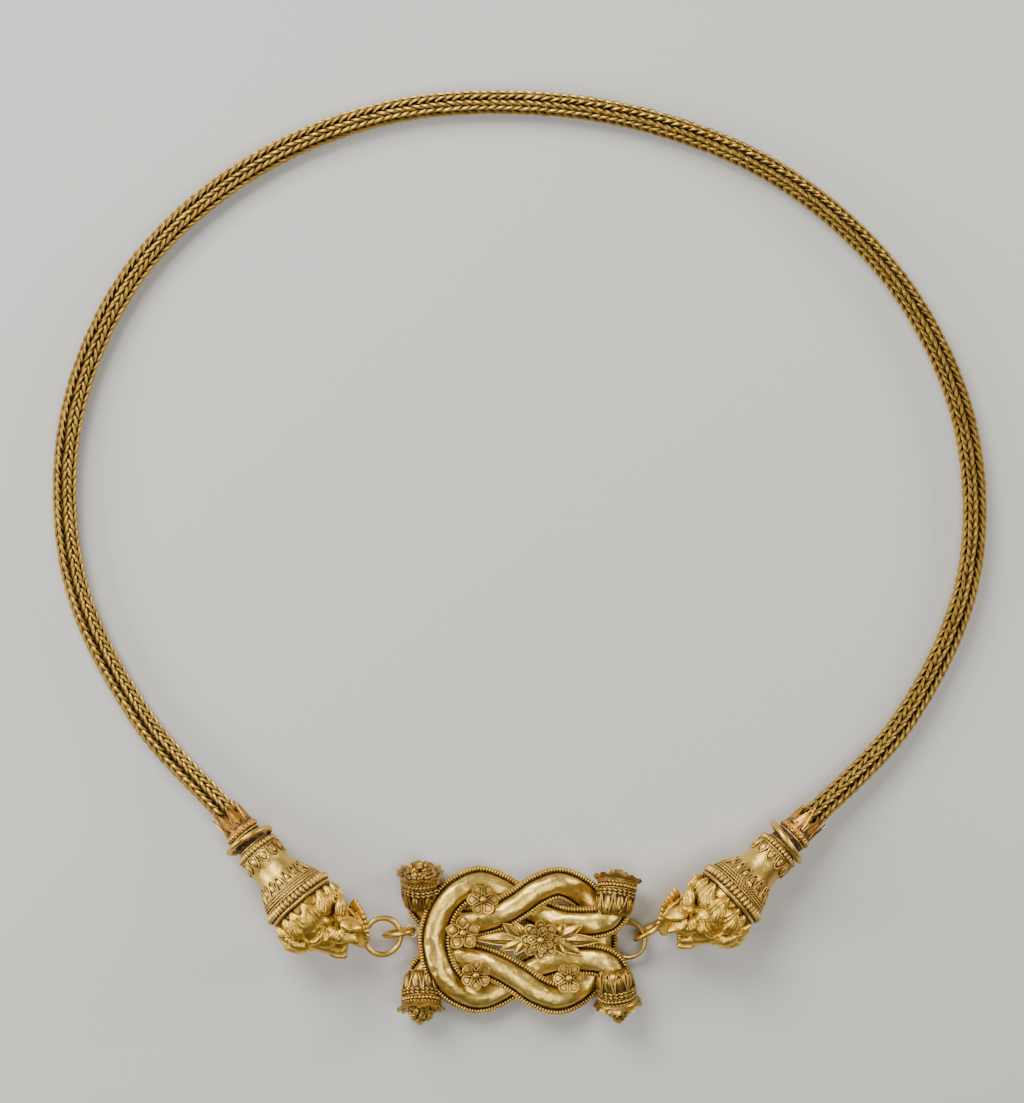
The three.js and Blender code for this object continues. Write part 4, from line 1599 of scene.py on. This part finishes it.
@dataclass
class Terminal:
    """One end of the band: leaf cap, sleeve, loose neck ring and lion head."""

    place: TerminalPlace
    cap: LeafCap = field(default_factory=LeafCap)
    sleeve: Sleeve = field(default_factory=Sleeve)
    neck_ring_at: float = 6.85
    neck_ring_radius: float = 3.95
    neck_ring_wire: float = 0.5
    neck_ring_tilt: float = 10.0

    def build(self, shop: Workshop, head: Shell) -> None:
        """Builds the terminal.

        Args:
            shop: The workshop that finishes the pieces.
            head: The sculpted lion head.
        """
        side = self.place.side
        place = self.place.matrix()
        name = side.value
        shop.settle(f"leaf_collar_{name}", self.cap.shell().moved(place), LEAF_GOLD, f"leaf_cap_{name}")
        shop.settle(f"sleeve_cone_{name}", self.sleeve.shell().moved(place), SLEEVE_GOLD, f"sleeve_{name}")
        ring = ring_shell(self.neck_ring_radius, self.neck_ring_wire)
        tilt = Matrix.Rotation(math.radians(-side.sign * self.neck_ring_tilt), 4, "Z")
        turn = Matrix.Translation((self.neck_ring_at, 0, 0)) @ tilt @ Matrix.Rotation(math.pi / 2, 4, "Y")
        shop.settle(f"loose_ring_{name}", ring.moved(place @ turn), WIRE_GOLD, f"neck_ring_{name}")
        near = Matrix.Translation((self.sleeve.band_at, 0, 0)) @ Matrix.Diagonal((1, 1, side.sign, 1))
        shop.settle(f"lion_{name}", head.moved(place @ near), LION_GOLD, f"lion_head_{name}")


@dataclass(frozen=True)
class LinkRing:
    """A wire ring between the lions and the clasp.

    A standing ring is turned to its heading, in degrees, and the others lie with a slope.
    """

    node: str
    centre: Point
    radius: float
    thickness: float
    heading: float = 0.0
    slope: float = 0.0
    standing: bool = False

    def build(self, shop: Workshop) -> None:
        """Builds the ring.

        Args:
            shop: The workshop that finishes it.
        """
        spin = Matrix.Rotation(math.radians(self.heading), 4, "Z")
        if self.standing:
            tip = Matrix.Rotation(math.pi / 2, 4, "X")
        else:
            tip = Matrix.Rotation(-math.atan(self.slope), 4, "Y")
        place = Matrix.Translation(self.centre) @ spin @ tip
        shell = ring_shell(self.radius, self.thickness).moved(place)
        shop.settle(f"link_{self.node}", shell, WIRE_GOLD, self.node)


LINK_RINGS = (
    LinkRing("lion_ring_left", (-23.2, -64.1, 4.6), 3.1, 0.5, slope=-0.3),
    LinkRing("lion_ring_right", (22.35, -63.0, 3.65), 3.1, 0.5, heading=32, standing=True),
    LinkRing("knot_ring_left", (-20.5, -63.7, 3.0), 2.4, 0.5, heading=10, standing=True),
    LinkRing("knot_ring_right", (18.45, -65.1, 1.62), 3.0, 0.4, slope=0.22),
)


@dataclass
class Strap:
    """One bight of the knot: a domed sheet strap on a flat plate, edged with wires.

    Attributes:
        half: The upper half of its middle line, from the knot's centre, with heights over the table.
        eye, eye_radius, eye_turn, eye_tab: Its hidden eye: place, radius, turn, and the tab that holds it.
        arch_corners, squareness: The dome's corners, and how square it is.
        dent_sizes, dent_depths: The least and the most of each.
        dent_margin, dent_round: How far from the plate the dents stay, and their size round the dome.
        deepest: The most that dents add up to.
        seam_out, seam_rise, seam_wire, seam_pitch: The roped wire along the dome's foot.
        bead_proud, bead_pitch: The borders' beads, over the solid's wire.
    """

    side: Side
    half: tuple[Point, ...]
    eye: Point
    eye_radius: float
    eye_turn: float = 0.0
    eye_tab: float = 0.0
    stations: int = 230
    eye_wire: float = 0.2
    arch_corners: int = 19
    squareness: float = 0.6
    dents: int = 170
    dent_sizes: Pair = (0.45, 1.7)
    dent_depths: Pair = (0.03, 0.11)
    dent_margin: float = 0.3
    dent_round: float = 0.42
    deepest: float = 0.34
    seam_out: float = 0.08
    seam_rise: float = 0.14
    seam_wire: float = 0.17
    seam_pitch: float = 0.42
    bead_proud: float = 0.05
    bead_pitch: float = 0.5

    def line(self) -> np.ndarray:
        """The strap's middle line: one half, then its mirror image below.

        Returns:
            The line's places.
        """
        x0, y0 = KNOT_CENTRE
        upper = [(x0 + x, y0 + y, z) for x, y, z in self.half[:0:-1]]
        lower = [(x0 + x, y0 - y, z) for x, y, z in self.half]
        return smooth_route([*upper, *lower])

    def dome(self, track: Track) -> Shell:
        """The hammered dome on its plate.

        Args:
            track: The strap's stations.

        Returns:
            The closed shell.
        """
        random = np.random.default_rng(SEED + self.side.sign)
        angles = np.linspace(0, np.pi, self.arch_corners)
        rise = PLATE + DOME_RISE * np.sin(angles) ** self.squareness
        arch = np.stack([DOME_HALF * np.cos(angles), rise], axis=1)
        plate = np.array([[-STRAP_HALF, PLATE], [-STRAP_HALF, 0], [STRAP_HALF, 0], [STRAP_HALF, PLATE]])
        section = np.broadcast_to(np.vstack([arch, plate]), (len(track.points), len(arch) + 4, 2)).copy()
        along = np.arange(len(track.points)) * line_length(track.points) / (len(track.points) - 1)
        dent = np.zeros((len(along), len(angles)))
        for _ in range(self.dents):
            place = random.uniform(0, along[-1])
            turn = random.uniform(self.dent_margin, np.pi - self.dent_margin)
            size, depth = random.uniform(*self.dent_sizes), random.uniform(*self.dent_depths)
            away = ((along[:, None] - place) / size) ** 2
            away = away + ((angles[None, :] - turn) / (size * self.dent_round)) ** 2
            dent += depth * np.exp(-away)
        inward = np.clip(np.sin(angles) * 2, 0, 1)
        shrink = 1 - np.clip(dent, 0, self.deepest) * inward[None, :] / DOME_RISE
        section[:, : len(angles), 0] *= shrink
        section[:, : len(angles), 1] = PLATE + (section[:, : len(angles), 1] - PLATE) * shrink
        return swept(track, section)

    def build(self, shop: Workshop) -> None:
        """Builds the strap, its eye and its wires.

        Args:
            shop: The workshop that finishes the pieces.
        """
        line = self.line()
        track = Track.level(line, self.stations)
        parts = [self.dome(track)]
        for hand in (-1, 1):
            seam = track.shifted(hand * (DOME_HALF + self.seam_out), PLATE + self.seam_rise).points
            parts.append(wire(seam, self.seam_wire, Wire.ROPE, self.seam_pitch, 6))
        eye = ring_shell(self.eye_radius, self.eye_wire)
        parts.append(eye.moved(Matrix.Translation(self.eye) @ Matrix.Rotation(self.eye_turn, 4, "X")))
        if self.eye_tab:
            deselect_all()
            middle = (self.eye[0] + self.eye_radius + self.eye_tab / 2, self.eye[1], self.eye[2])
            bpy.ops.mesh.primitive_cube_add(size=1, location=middle,
                                            scale=(self.eye_tab, self.eye_tab, 2 * self.eye_wire))
            parts.append(lifted(bpy.context.object))
        name = self.side.value
        shop.settle(f"domed_strap_{name}", joined(parts), SHEET_GOLD, f"knot_strap_{name}")
        for letter, hand in (("a", 1), ("b", -1)):
            border = track.shifted(hand * (STRAP_HALF - EDGE_RADIUS), PLATE + EDGE_RADIUS).points
            beads = wire(border, EDGE_RADIUS + self.bead_proud, Wire.BEADED, self.bead_pitch)
            shop.settle(f"beaded_border_{name}_{letter}", beads, WIRE_GOLD, f"edge_wire_{name}_{letter}")


# Heights of a strap's underside where it passes below and above the other
LOW, HIGH = 1.6, 4.0
LEFT_STRAP = Strap(Side.LEFT, (
    (-14.3, 0, HIGH), (-13.5, 4.0, HIGH), (-12.4, 6.2, HIGH - 0.1), (-10.5, 8.2, 3.4), (-6.8, 9.75, 2.1),
    (-3.2, 8.6, LOW), (0, 6.4, LOW), (3.8, 4.3, LOW + 0.1), (7.4, 3.2, 3.0),
    (11.0, 3.05, HIGH), (13.7, 3.3, 4.3), (15.4, 4.1, 4.7), (16.2, 5.3, 4.8),
), (-18.3, -63.3, HIGH - 0.12), 1.0, 0.0, 1.2)
RIGHT_STRAP = Strap(Side.RIGHT, (
    (14.1, 0, LOW), (13.4, 4.0, LOW), (12.3, 6.2, LOW), (10.4, 8.2, 2.0), (6.8, 9.75, 3.5),
    (3.2, 8.6, HIGH), (0, 6.4, HIGH), (-3.8, 4.3, HIGH - 0.1), (-7.4, 3.2, 2.6),
    (-11.0, 3.05, LOW), (-13.6, 3.5, LOW), (-15.4, 4.8, 1.5), (-16.6, 6.3, 1.5),
), (15.45, -65.1, 1.0), 0.8, math.pi / 2)


# The rings of a puffed sheet, as shares of its outline, and the width of the rib along it
DISH_RINGS = np.array([1.0, 0.86, 0.66, 0.44, 0.2])
RIB_WIDTH = 0.12


def dished(outline: np.ndarray, rise: float, thickness: float, rib: float = 0.0) -> Shell:
    """A puffed sheet inside a flat outline, as a petal or leaf is.

    Args:
        outline: The outline's places in plan, in order.
        rise: How high its middle stands over its edge.
        thickness: How thick its edge is.
        rib: How high a rib along X stands on it.

    Returns:
        The closed shell, its underside at zero.
    """
    middle = outline.mean(axis=0)
    rings = [middle + (outline - middle) * share for share in DISH_RINGS]
    heights = [thickness + rise * (1 - share**2) ** 0.7 for share in DISH_RINGS]
    count = len(outline)
    corners = [np.column_stack([outline, np.zeros(count)])]
    for places, height in zip(rings, heights):
        bump = rib * np.exp(-((places[:, 1] / RIB_WIDTH) ** 2))
        corners.append(np.column_stack([places, height + bump]))
    top = [*middle, thickness + rise + rib]
    base = [*middle, 0.0]
    grid = np.arange(count * len(corners)).reshape(len(corners), count)
    low, high = grid[:-1], grid[1:]
    quads = np.stack([low, np.roll(low, -1, axis=1), np.roll(high, -1, axis=1), high], axis=-1)
    tip, root = count * len(corners), count * len(corners) + 1
    last, first = grid[-1], grid[0]
    cap = np.stack([last, np.roll(last, -1), np.full(count, tip)], axis=1)
    foot = np.stack([np.roll(first, -1), first, np.full(count, root)], axis=1)
    return Shell(np.vstack([*corners, [top, base]]), [quads.reshape(-1, 4), cap, foot]).outward()


def blade_outline(along: np.ndarray, half: np.ndarray) -> np.ndarray:
    """The closed outline of a petal or leaf that grows along X.

    Args:
        along: Distances from its root to its tip.
        half: Half of its width at each.

    Returns:
        The outline's places in plan.
    """
    upper = np.stack([along, half], axis=1)
    return np.vstack([upper, (upper[1:-1] * [1, -1])[::-1], [[0, -half[0]]]])


def rimmed(outline: np.ndarray, height: float, radius: float) -> Shell:
    """A plain wire laid along a flat outline.

    Args:
        outline: The outline's places in plan.
        height: The wire's height.
        radius: Its radius.

    Returns:
        The closed shell.
    """
    line = np.column_stack([outline, np.full(len(outline), height)])
    return swept(Track.carried(line, True), circle(radius, 6), True)


@dataclass(frozen=True)
class Rosette:
    """A flower of puffed wire-edged petals round a bead.

    Attributes:
        place: Its middle, from the knot's centre.
        inner: The reach of its upper petals, or nought.
        bead: The radius of the bead in its middle.
        well: Where the petals start.
        fill, star_fill: How much of its share of the turn a petal takes, blunt or pointed.
        widest_at: Where a blunt petal is widest, as a share of its length.
        puff, star_puff: How high the petals swell.
        edge_height, edge: The height and radius of the petals' wires.
        droop, droop_play, lift_play: The petals' tilt in degrees, and how much tilt and height differ.
        disc: The plate under the petals: its underside, top and radius.
        tiers: The height of the lower and upper petals.
        beads: The height of the bead on the lower and upper petals.
    """

    node: str
    place: Pair
    height: float
    radius: float
    petals: int
    inner: float = 0.0
    bead: float = 0.6
    well: float = 0.9
    pointed: bool = False
    turn: float = 0.0
    places: int = 14
    fill: float = 0.84
    star_fill: float = 0.72
    widest_at: float = 0.58
    puff: float = 0.06
    star_puff: float = 0.16
    edge_height: float = 0.28
    edge: float = 0.17
    droop: float = -13.0
    droop_play: float = 3.0
    lift_play: float = 0.05
    disc: Point = (-0.12, 0.02, 1.05)
    tiers: Pair = (0.02, 0.42)
    upper_turn: float = 0.4
    beads: Pair = (0.72, 1.08)

    def petal(self, radius: float, petals: int) -> Shell:
        """One petal with its wire.

        Args:
            radius: The petals' reach.
            petals: How many there are in its ring.

        Returns:
            The closed shells.
        """
        fill = self.star_fill if self.pointed else self.fill
        width = 2 * math.pi * radius * 0.7 / petals * fill
        t = np.linspace(0, 1, self.places)
        if self.pointed:
            half = width / 2 * np.sin(np.pi * (0.05 + 0.95 * t) ** 1.05) ** 0.85
            half[-1] = 0.0
        else:
            grow = np.clip(t / self.widest_at, 0, 1) ** 1.1
            end = np.clip((t - self.widest_at) / (1 - self.widest_at), 0, 1)
            half = width / 2 * (0.15 + 0.85 * grow) * np.maximum(1 - end**2, 0) ** 0.6
        outline = blade_outline(t * (radius - self.well), half)
        puff = self.star_puff if self.pointed else self.puff
        return joined([dished(outline, puff, 0.06), rimmed(outline, self.edge_height, self.edge)])

    def tier(self, radius: float, petals: int, base: float, turn: float) -> list[Shell]:
        """One ring of petals.

        Args:
            radius: The petals' reach.
            petals: How many.
            base: The height of their underside.
            turn: How far the tier is turned, in radians.

        Returns:
            The petals and their wires.
        """
        petal = self.petal(radius, petals)
        parts = []
        for k in range(petals):
            way = Matrix.Rotation(2 * math.pi * k / petals + turn, 4, "Z")
            droop = self.droop + self.droop_play * math.sin(2.3 * k)
            lift = self.lift_play * math.sin(1.7 * k + 0.4)
            place = way @ Matrix.Translation((self.well - 0.12, 0, base + lift))
            parts.append(petal.moved(place @ Matrix.Rotation(math.radians(droop), 4, "Y")))
        return parts

    def heart(self, height: float) -> Shell:
        """The bead in the middle."""
        size = Matrix.Diagonal((self.bead, self.bead, self.bead * 0.95, 1))
        return ball(20, 12).moved(Matrix.Translation((0, 0, height)) @ size)

    def build(self, shop: Workshop) -> None:
        """Builds the rosette.

        Args:
            shop: The workshop that finishes it.
        """
        low, high, out = self.disc
        disc = turned([(low, 0.0), (low, out), (high, out), (high, 0.0)], 20)
        parts = [disc.moved(Matrix.Rotation(-math.pi / 2, 4, "Y"))]
        parts += self.tier(self.radius, self.petals, self.tiers[0], self.turn)
        if self.inner:
            parts += self.tier(self.inner, self.petals - 1, self.tiers[1], self.turn + self.upper_turn)
        parts.append(self.heart(self.beads[1 if self.inner else 0]))
        middle = (KNOT_CENTRE[0] + self.place[0], KNOT_CENTRE[1] + self.place[1], self.height)
        flower = joined(parts).moved(Matrix.Translation(middle))
        shop.settle(f"flower_{self.node}", flower, ROSETTE_GOLD, self.node)


ON_STRAPS = HIGH + PLATE + 2 * EDGE_RADIUS + 0.48
SPRAY_HEIGHTS = {Side.LEFT: 5.45, Side.RIGHT: 6.1}
ON_SPRAY = SPRAY_HEIGHTS[Side.RIGHT] + 0.3 + FIT_GAP
ROSETTES = (
    Rosette("rosette_upper_left", (-6.0, 7.25), ON_STRAPS, 2.85, 6, turn=0.0),
    Rosette("rosette_star", (-9.4, 1.6), ON_STRAPS, 3.15, 5, pointed=True, turn=0.35),
    Rosette("rosette_lower_left", (-7.2, -5.55), ON_STRAPS, 2.7, 6, turn=0.5),
    Rosette("rosette_lower_right", (8.5, -6.05), ON_STRAPS + 0.1, 2.75, 6, turn=0.0),
    Rosette("rosette_centre", (3.7, 0.55), ON_SPRAY, 3.6, 8, inner=2.4),
)


@dataclass(frozen=True)
class LeafSpray:
    """A spray of ribbed pointed leaves on a stalk.

    Attributes:
        root: Where the leaves start, from the knot's centre.
        leaves: Each leaf's tip and width.
        widest_at: Where a leaf is widest, as a share of its length.
        vein_at: Where the veins start, as shares of the leaf.
    """

    side: Side
    root: Pair
    leaves: tuple[tuple[float, float, float], ...]
    places: int = 12
    widest_at: float = 0.4
    vein_at: tuple[float, ...] = (0.3, 0.45, 0.6)

    def leaf(self, reach: float, width: float) -> Shell:
        """One leaf along X, with its wire and veins.

        Args:
            reach: How far its tip is from the root.
            width: Its width.

        Returns:
            The closed shells.
        """
        t = np.linspace(0, 1, self.places)
        grow = np.sin(np.pi / 2 * (t / self.widest_at))
        shrink = np.maximum(1 - ((t - self.widest_at) / (1 - self.widest_at)) ** 1.25, 0) ** 0.9
        width_over_wires = width * 1.25
        half = width_over_wires / 2 * np.where(t < self.widest_at, grow, shrink)
        half[0] = width_over_wires * 0.12
        outline = blade_outline(t * (reach * 0.9), half)
        blade = [dished(outline, 0.34, 0.12, 0.14), rimmed(outline, 0.16, 0.12)]
        for hand in (-1, 1):
            for share in self.vein_at:
                start = (reach * 0.86 * share, 0.0, 0.36)
                end = (reach * 0.86 * (share + 0.14), hand * width * 0.3, 0.22)
                blade.append(bar([start, end], [0.06, 0.05]))
        return joined(blade)

    def build(self, shop: Workshop) -> None:
        """Builds the spray.

        Args:
            shop: The workshop that finishes it.
        """
        parts = []
        root = Matrix.Translation((*self.root, 0))
        for k, (x, y, width) in enumerate(self.leaves):
            reach = math.hypot(x - self.root[0], y - self.root[1])
            heading = Matrix.Rotation(math.atan2(y - self.root[1], x - self.root[0]), 4, "Z")
            lift = Matrix.Rotation(math.radians(-1.0 + 1.5 * math.sin(2.0 * k)), 4, "Y")
            place = heading @ Matrix.Translation((reach * 0.13, 0, 0.02)) @ lift
            parts.append(self.leaf(reach, width).moved(root @ place))
            stalk = bar([(0, 0, 0.15), (reach * 0.3, 0, 0.2)], [0.22, 0.14])
            parts.append(stalk.moved(root @ heading))
        middle = Matrix.Translation((*self.root, 0.15)) @ Matrix.Diagonal((0.8, 0.8, 0.3, 1))
        parts.append(ball(16, 10).moved(middle))
        place = Matrix.Translation((*KNOT_CENTRE, SPRAY_HEIGHTS[self.side]))
        name = f"leaf_spray_{self.side.value}"
        shop.settle(f"ribbed_{name}", joined(parts).moved(place), ROSETTE_GOLD, name)


SPRAYS = (
    LeafSpray(Side.LEFT, (1.2, 0.5), (
        (-7.2, 0.5, 1.6), (-2.6, 3.1, 1.5), (-0.6, 3.3, 1.3), (-2.9, -1.3, 1.4), (-0.6, -2.1, 1.3))),
    LeafSpray(Side.RIGHT, (6.3, 0.5), (
        (13.8, 0.3, 1.6), (7.7, 3.1, 1.4), (10.7, 2.9, 1.5), (7.9, -2.1, 1.4), (10.5, -2.0, 1.5))),
)


@dataclass(frozen=True)
class Finial:
    """The flower-cup at the end of an arm: calyx, wire bands, ruffled rim and a cluster of berries.

    Attributes:
        rim: The middle of its rim, from the knot's centre.
        cluster: How far the cluster stands out.
        turn: How far the cluster is turned, in radians.
        cup: Where the straight part of the profile, on which the calyx lies, starts and ends.
        lip, lip_steps: The rim's section, and its steps round.
        ruffles: How many waves the rim has.
        flare_from, flare_over: Where the rim starts to wave, and over what length.
        top_berries: Place along, share of the cluster's reach, place out, turn and size of each.
        berry_rings: The same for each ring, with its number of berries and its offset for the turn.
    """

    node: str
    strap: Strap
    rim: Pair
    cluster: float = 0.6
    turn: float = 0.0
    rim_height: float = 4.15
    profile: tuple[Pair, ...] = (
        (-0.9, 0.0), (-0.9, 1.7), (-0.5, 2.35), (0.4, 2.7), (1.6, 2.95), (2.6, 3.05), (3.4, 3.0),
        (4.4, 3.1), (4.9, 3.45), (5.2, 3.6), (5.35, 3.3), (5.5, 2.5), (5.8, 1.2), (5.9, 0.0),
    )
    profile_steps: int = 48
    cup: tuple[int, int] = (1, 10)
    lip: tuple[Pair, ...] = (
        (4.6, 2.6), (4.9, 3.2), (5.3, 3.62), (5.65, 3.72), (5.7, 3.6), (5.45, 3.3), (5.1, 2.7), (4.6, 2.6))
    lip_steps: int = 72
    ruffles: int = 11
    flare_from: float = 4.7
    flare_over: float = 0.9
    flare_spread: float = 0.09
    ruffle_along: float = 0.2
    ruffle_out: float = 0.05
    top_berries: tuple[tuple[float, float, float, float, float], ...] = (
        (5.9, 1.0, 0.3, 1.0, 1.0), (5.7, 0.75, 0.9, 3.3, 0.95))
    berry_rings: tuple[tuple[float, float, float, int, float, float], ...] = (
        (5.5, 0.75, 1.2, 6, 0.0, 0.78), (5.4, 0.4, 1.75, 9, 0.5, 0.7), (5.2, 0.1, 2.3, 13, 0.3, 0.62))
    berry_facets: tuple[int, int] = (14, 10)
    tongues: TongueRow = TongueRow(
        count=8, tip=-0.8, base=2.35, fill=0.88, height=0.14, point=0.6, places=10, edge=0.2,
        edge_sides=8, drop_at=1.0, drop_size=(1.3, 0.3, 0.62), drop_facets=(14, 10))
    bands: tuple[Band, ...] = (
        Band(2.5, 3.1, 0.3, Wire.ROPE, 0.8),
        Band(3.06, 3.1, 0.3, Wire.ROPE, 0.8),
        Band(3.5, 3.04, 0.13),
        Band(3.98, 3.06, 0.42, Wire.BEADED, 0.62),
        Band(4.52, 3.2, 0.2, Wire.ROPE, 0.6),
    )

    def radius(self, along: np.ndarray) -> np.ndarray:
        """The cup's radius at a distance along the axis."""
        xs, rs = zip(*self.profile[self.cup[0]:self.cup[1]])
        return np.interp(along, xs, rs)

    def place(self) -> Matrix:
        """The finial's frame: X along its axis.

        Returns:
            The placement, in millimetres.
        """
        x, y, z = self.strap.half[-1]
        hand = math.copysign(1, self.rim[1])
        start = Vector((KNOT_CENTRE[0] + x, KNOT_CENTRE[1] + hand * y, z + (PLATE + DOME_RISE) / 2))
        end = Vector((KNOT_CENTRE[0] + self.rim[0], KNOT_CENTRE[1] + self.rim[1], self.rim_height))
        turn = Vector((1, 0, 0)).rotation_difference(end - start)
        return Matrix.Translation(start) @ turn.to_matrix().to_4x4()

    def ruffle(self) -> Shell:
        """The flared rim, waved like a petal edge.

        Returns:
            The closed shell.
        """
        rim = turned(self.lip, self.lip_steps)
        x, y, z = rim.corners.T
        angle = np.arctan2(z, y)
        flare = np.clip((x - self.flare_from) / self.flare_over, 0, 1)
        wave = self.ruffles * angle
        rim.corners[:, 0] += self.ruffle_along * flare * np.sin(wave + 1.3 * np.sin(2 * angle))
        scale = 1 + self.flare_spread * flare
        scale = scale + self.ruffle_out * flare * np.sin(wave + 1.1 + np.sin(3 * angle))
        rim.corners[:, 1:] *= scale[:, None]
        return rim

    def berries(self) -> list[Shell]:
        """The crumpled cluster in the rim.

        Returns:
            The berries.
        """
        random = np.random.default_rng(SEED + int(10 * self.cluster))
        seed = ball(*self.berry_facets)
        parts = []
        spots = list(self.top_berries)
        for along, stand, reach, count, offset, size in self.berry_rings:
            spots += [(along, stand, reach, 2 * math.pi * (k + offset) / count, size) for k in range(count)]
        for along, stand, reach, angle, size in spots:
            along += stand * self.cluster
            angle += self.turn + random.normal(0, 0.16)
            stretch = random.uniform(0.78, 1.2, 3)
            centre = (along, reach * math.cos(angle), reach * math.sin(angle))
            berry = seed.moved(Matrix.Translation(centre) @ Matrix.Diagonal((*(size * stretch), 1)))
            away = berry.corners - np.array(centre)
            crumple = 1 + 0.2 * np.sin(5.5 * away[:, 1] + 3 * angle) * np.sin(5 * away[:, 2] + along)
            crumple += 0.1 * np.sin(9 * away[:, 0] + 2 * angle)
            berry.corners[:] = np.array(centre) + away * crumple[:, None]
            parts.append(berry)
        return parts

    def build(self, shop: Workshop) -> None:
        """Builds the finial.

        Args:
            shop: The workshop that finishes it.
        """
        parts = [turned(self.profile, self.profile_steps), self.ruffle(), *self.berries()]
        parts += self.tongues.shells(self.radius)
        parts += [band.shell() for band in self.bands]
        shop.settle(f"cup_{self.node}", joined(parts).moved(self.place()), FINIAL_GOLD, self.node)


FINIALS = (
    Finial("finial_upper_left", RIGHT_STRAP, (-16.7, 11.4), 1.0, 0.3),
    Finial("finial_lower_left", RIGHT_STRAP, (-16.5, -11.4), 1.4, 2.2),
    Finial("finial_upper_right", LEFT_STRAP, (16.9, 11.0), 0.4, 0.5),
    Finial("finial_lower_right", LEFT_STRAP, (16.9, -11.0), 2.1, 1.3),
)


@dataclass(frozen=True)
class Softbox:
    """A square light that faces the band: its name, place and side in metres, and its power in watts."""

    name: str
    place: Point
    size: float
    power: float


@dataclass
class Studio:
    """The pale floor, the soft lights and the camera straight above.

    Attributes:
        pixel: What a pixel of the photograph is in millimetres, and photo_size its pixels.
        photo_centre: The place in the middle of the photograph, in millimetres.
        focus_height: The height over the table at which the pixel's size holds.
        floor_drop: How far the table is lowered, so that no dressed piece dips into it.
    """

    pixel: float = 0.17
    photo_size: tuple[int, int] = (1024, 1103)
    photo_centre: Pair = (-1.275, 1.105)
    lens: float = 100.0
    sensor: float = 36.0
    focus_height: float = 3.0
    floor_drop: float = 0.3
    floor_side: float = 3.0
    floor_colour: Colour = (0.62, 0.62, 0.61, 1)
    floor_roughness: float = 0.75
    room_colour: Colour = (0.68, 0.67, 0.64, 1)
    room_strength: float = 0.16
    light_colour: Point = (1.0, 0.965, 0.91)
    lights: tuple[Softbox, ...] = (
        Softbox("top_softbox", (-0.22, 0.34, 0.42), 0.34, 3.8),
        Softbox("camera_side_softbox", (0.10, -0.16, 0.62), 0.3, 1.5),
        Softbox("left_strip", (-0.46, -0.06, 0.22), 0.2, 1.5),
        Softbox("right_strip", (0.42, 0.14, 0.18), 0.16, 1.1),
    )

    def build(self) -> None:
        """Builds the studio."""
        self._floor()
        for softbox in self.lights:
            self._light(softbox)
        world = bpy.data.worlds.new("soft_room")
        world.use_nodes = True
        background = world.node_tree.nodes["Background"]
        background.inputs["Color"].default_value = self.room_colour
        background.inputs["Strength"].default_value = self.room_strength
        bpy.context.scene.world = world
        self._camera()

    def _floor(self) -> None:
        """The pale table."""
        deselect_all()
        bpy.ops.mesh.primitive_plane_add(size=self.floor_side, location=(0, 0, -self.floor_drop * MM))
        floor = bpy.context.object
        floor.name = "pale_floor"
        material = bpy.data.materials.new("pale_floor")
        material.use_nodes = True
        shader = material.node_tree.nodes["Principled BSDF"]
        shader.inputs["Base Color"].default_value = self.floor_colour
        shader.inputs["Roughness"].default_value = self.floor_roughness
        floor.data.materials.append(material)

    def _light(self, softbox: Softbox) -> None:
        """Sets up one softbox.

        Args:
            softbox: Its name, place, side and power.
        """
        data = bpy.data.lights.new(softbox.name, "AREA")
        data.shape = "SQUARE"
        data.size = softbox.size
        data.energy = softbox.power
        data.color = self.light_colour
        light = bpy.data.objects.new(softbox.name, data)
        bpy.context.scene.collection.objects.link(light)
        light.location = softbox.place
        light.rotation_euler = (-Vector(softbox.place)).to_track_quat("-Z", "Y").to_euler()

    def _camera(self) -> None:
        """The camera, straight above, framed as the photograph is."""
        data = bpy.data.cameras.new("photo_camera")
        data.lens = self.lens
        data.sensor_width = self.sensor
        camera = bpy.data.objects.new("photo_camera", data)
        bpy.context.scene.collection.objects.link(camera)
        height = self.photo_size[1] * self.pixel * self.lens / self.sensor + self.focus_height
        camera.location = (self.photo_centre[0] * MM, self.photo_centre[1] * MM, height * MM)
        bpy.context.scene.camera = camera


def main() -> None:
    """Builds the band in order, measures its hollows, and sets the studio."""
    logging.basicConfig(level=logging.INFO, format="%(name)s %(message)s")
    shop = Workshop()
    Chain().build(shop)
    head = LionHead().shell()
    for place in (LEFT_PLACE, RIGHT_PLACE):
        Terminal(place).build(shop, head)
    for piece in (*LINK_RINGS, LEFT_STRAP, RIGHT_STRAP, *FINIALS, *ROSETTES, *SPRAYS):
        piece.build(shop)
    shop.measure_recesses()
    Studio().build()
    log.info("size file written")


if __name__ == "__main__":
    main()
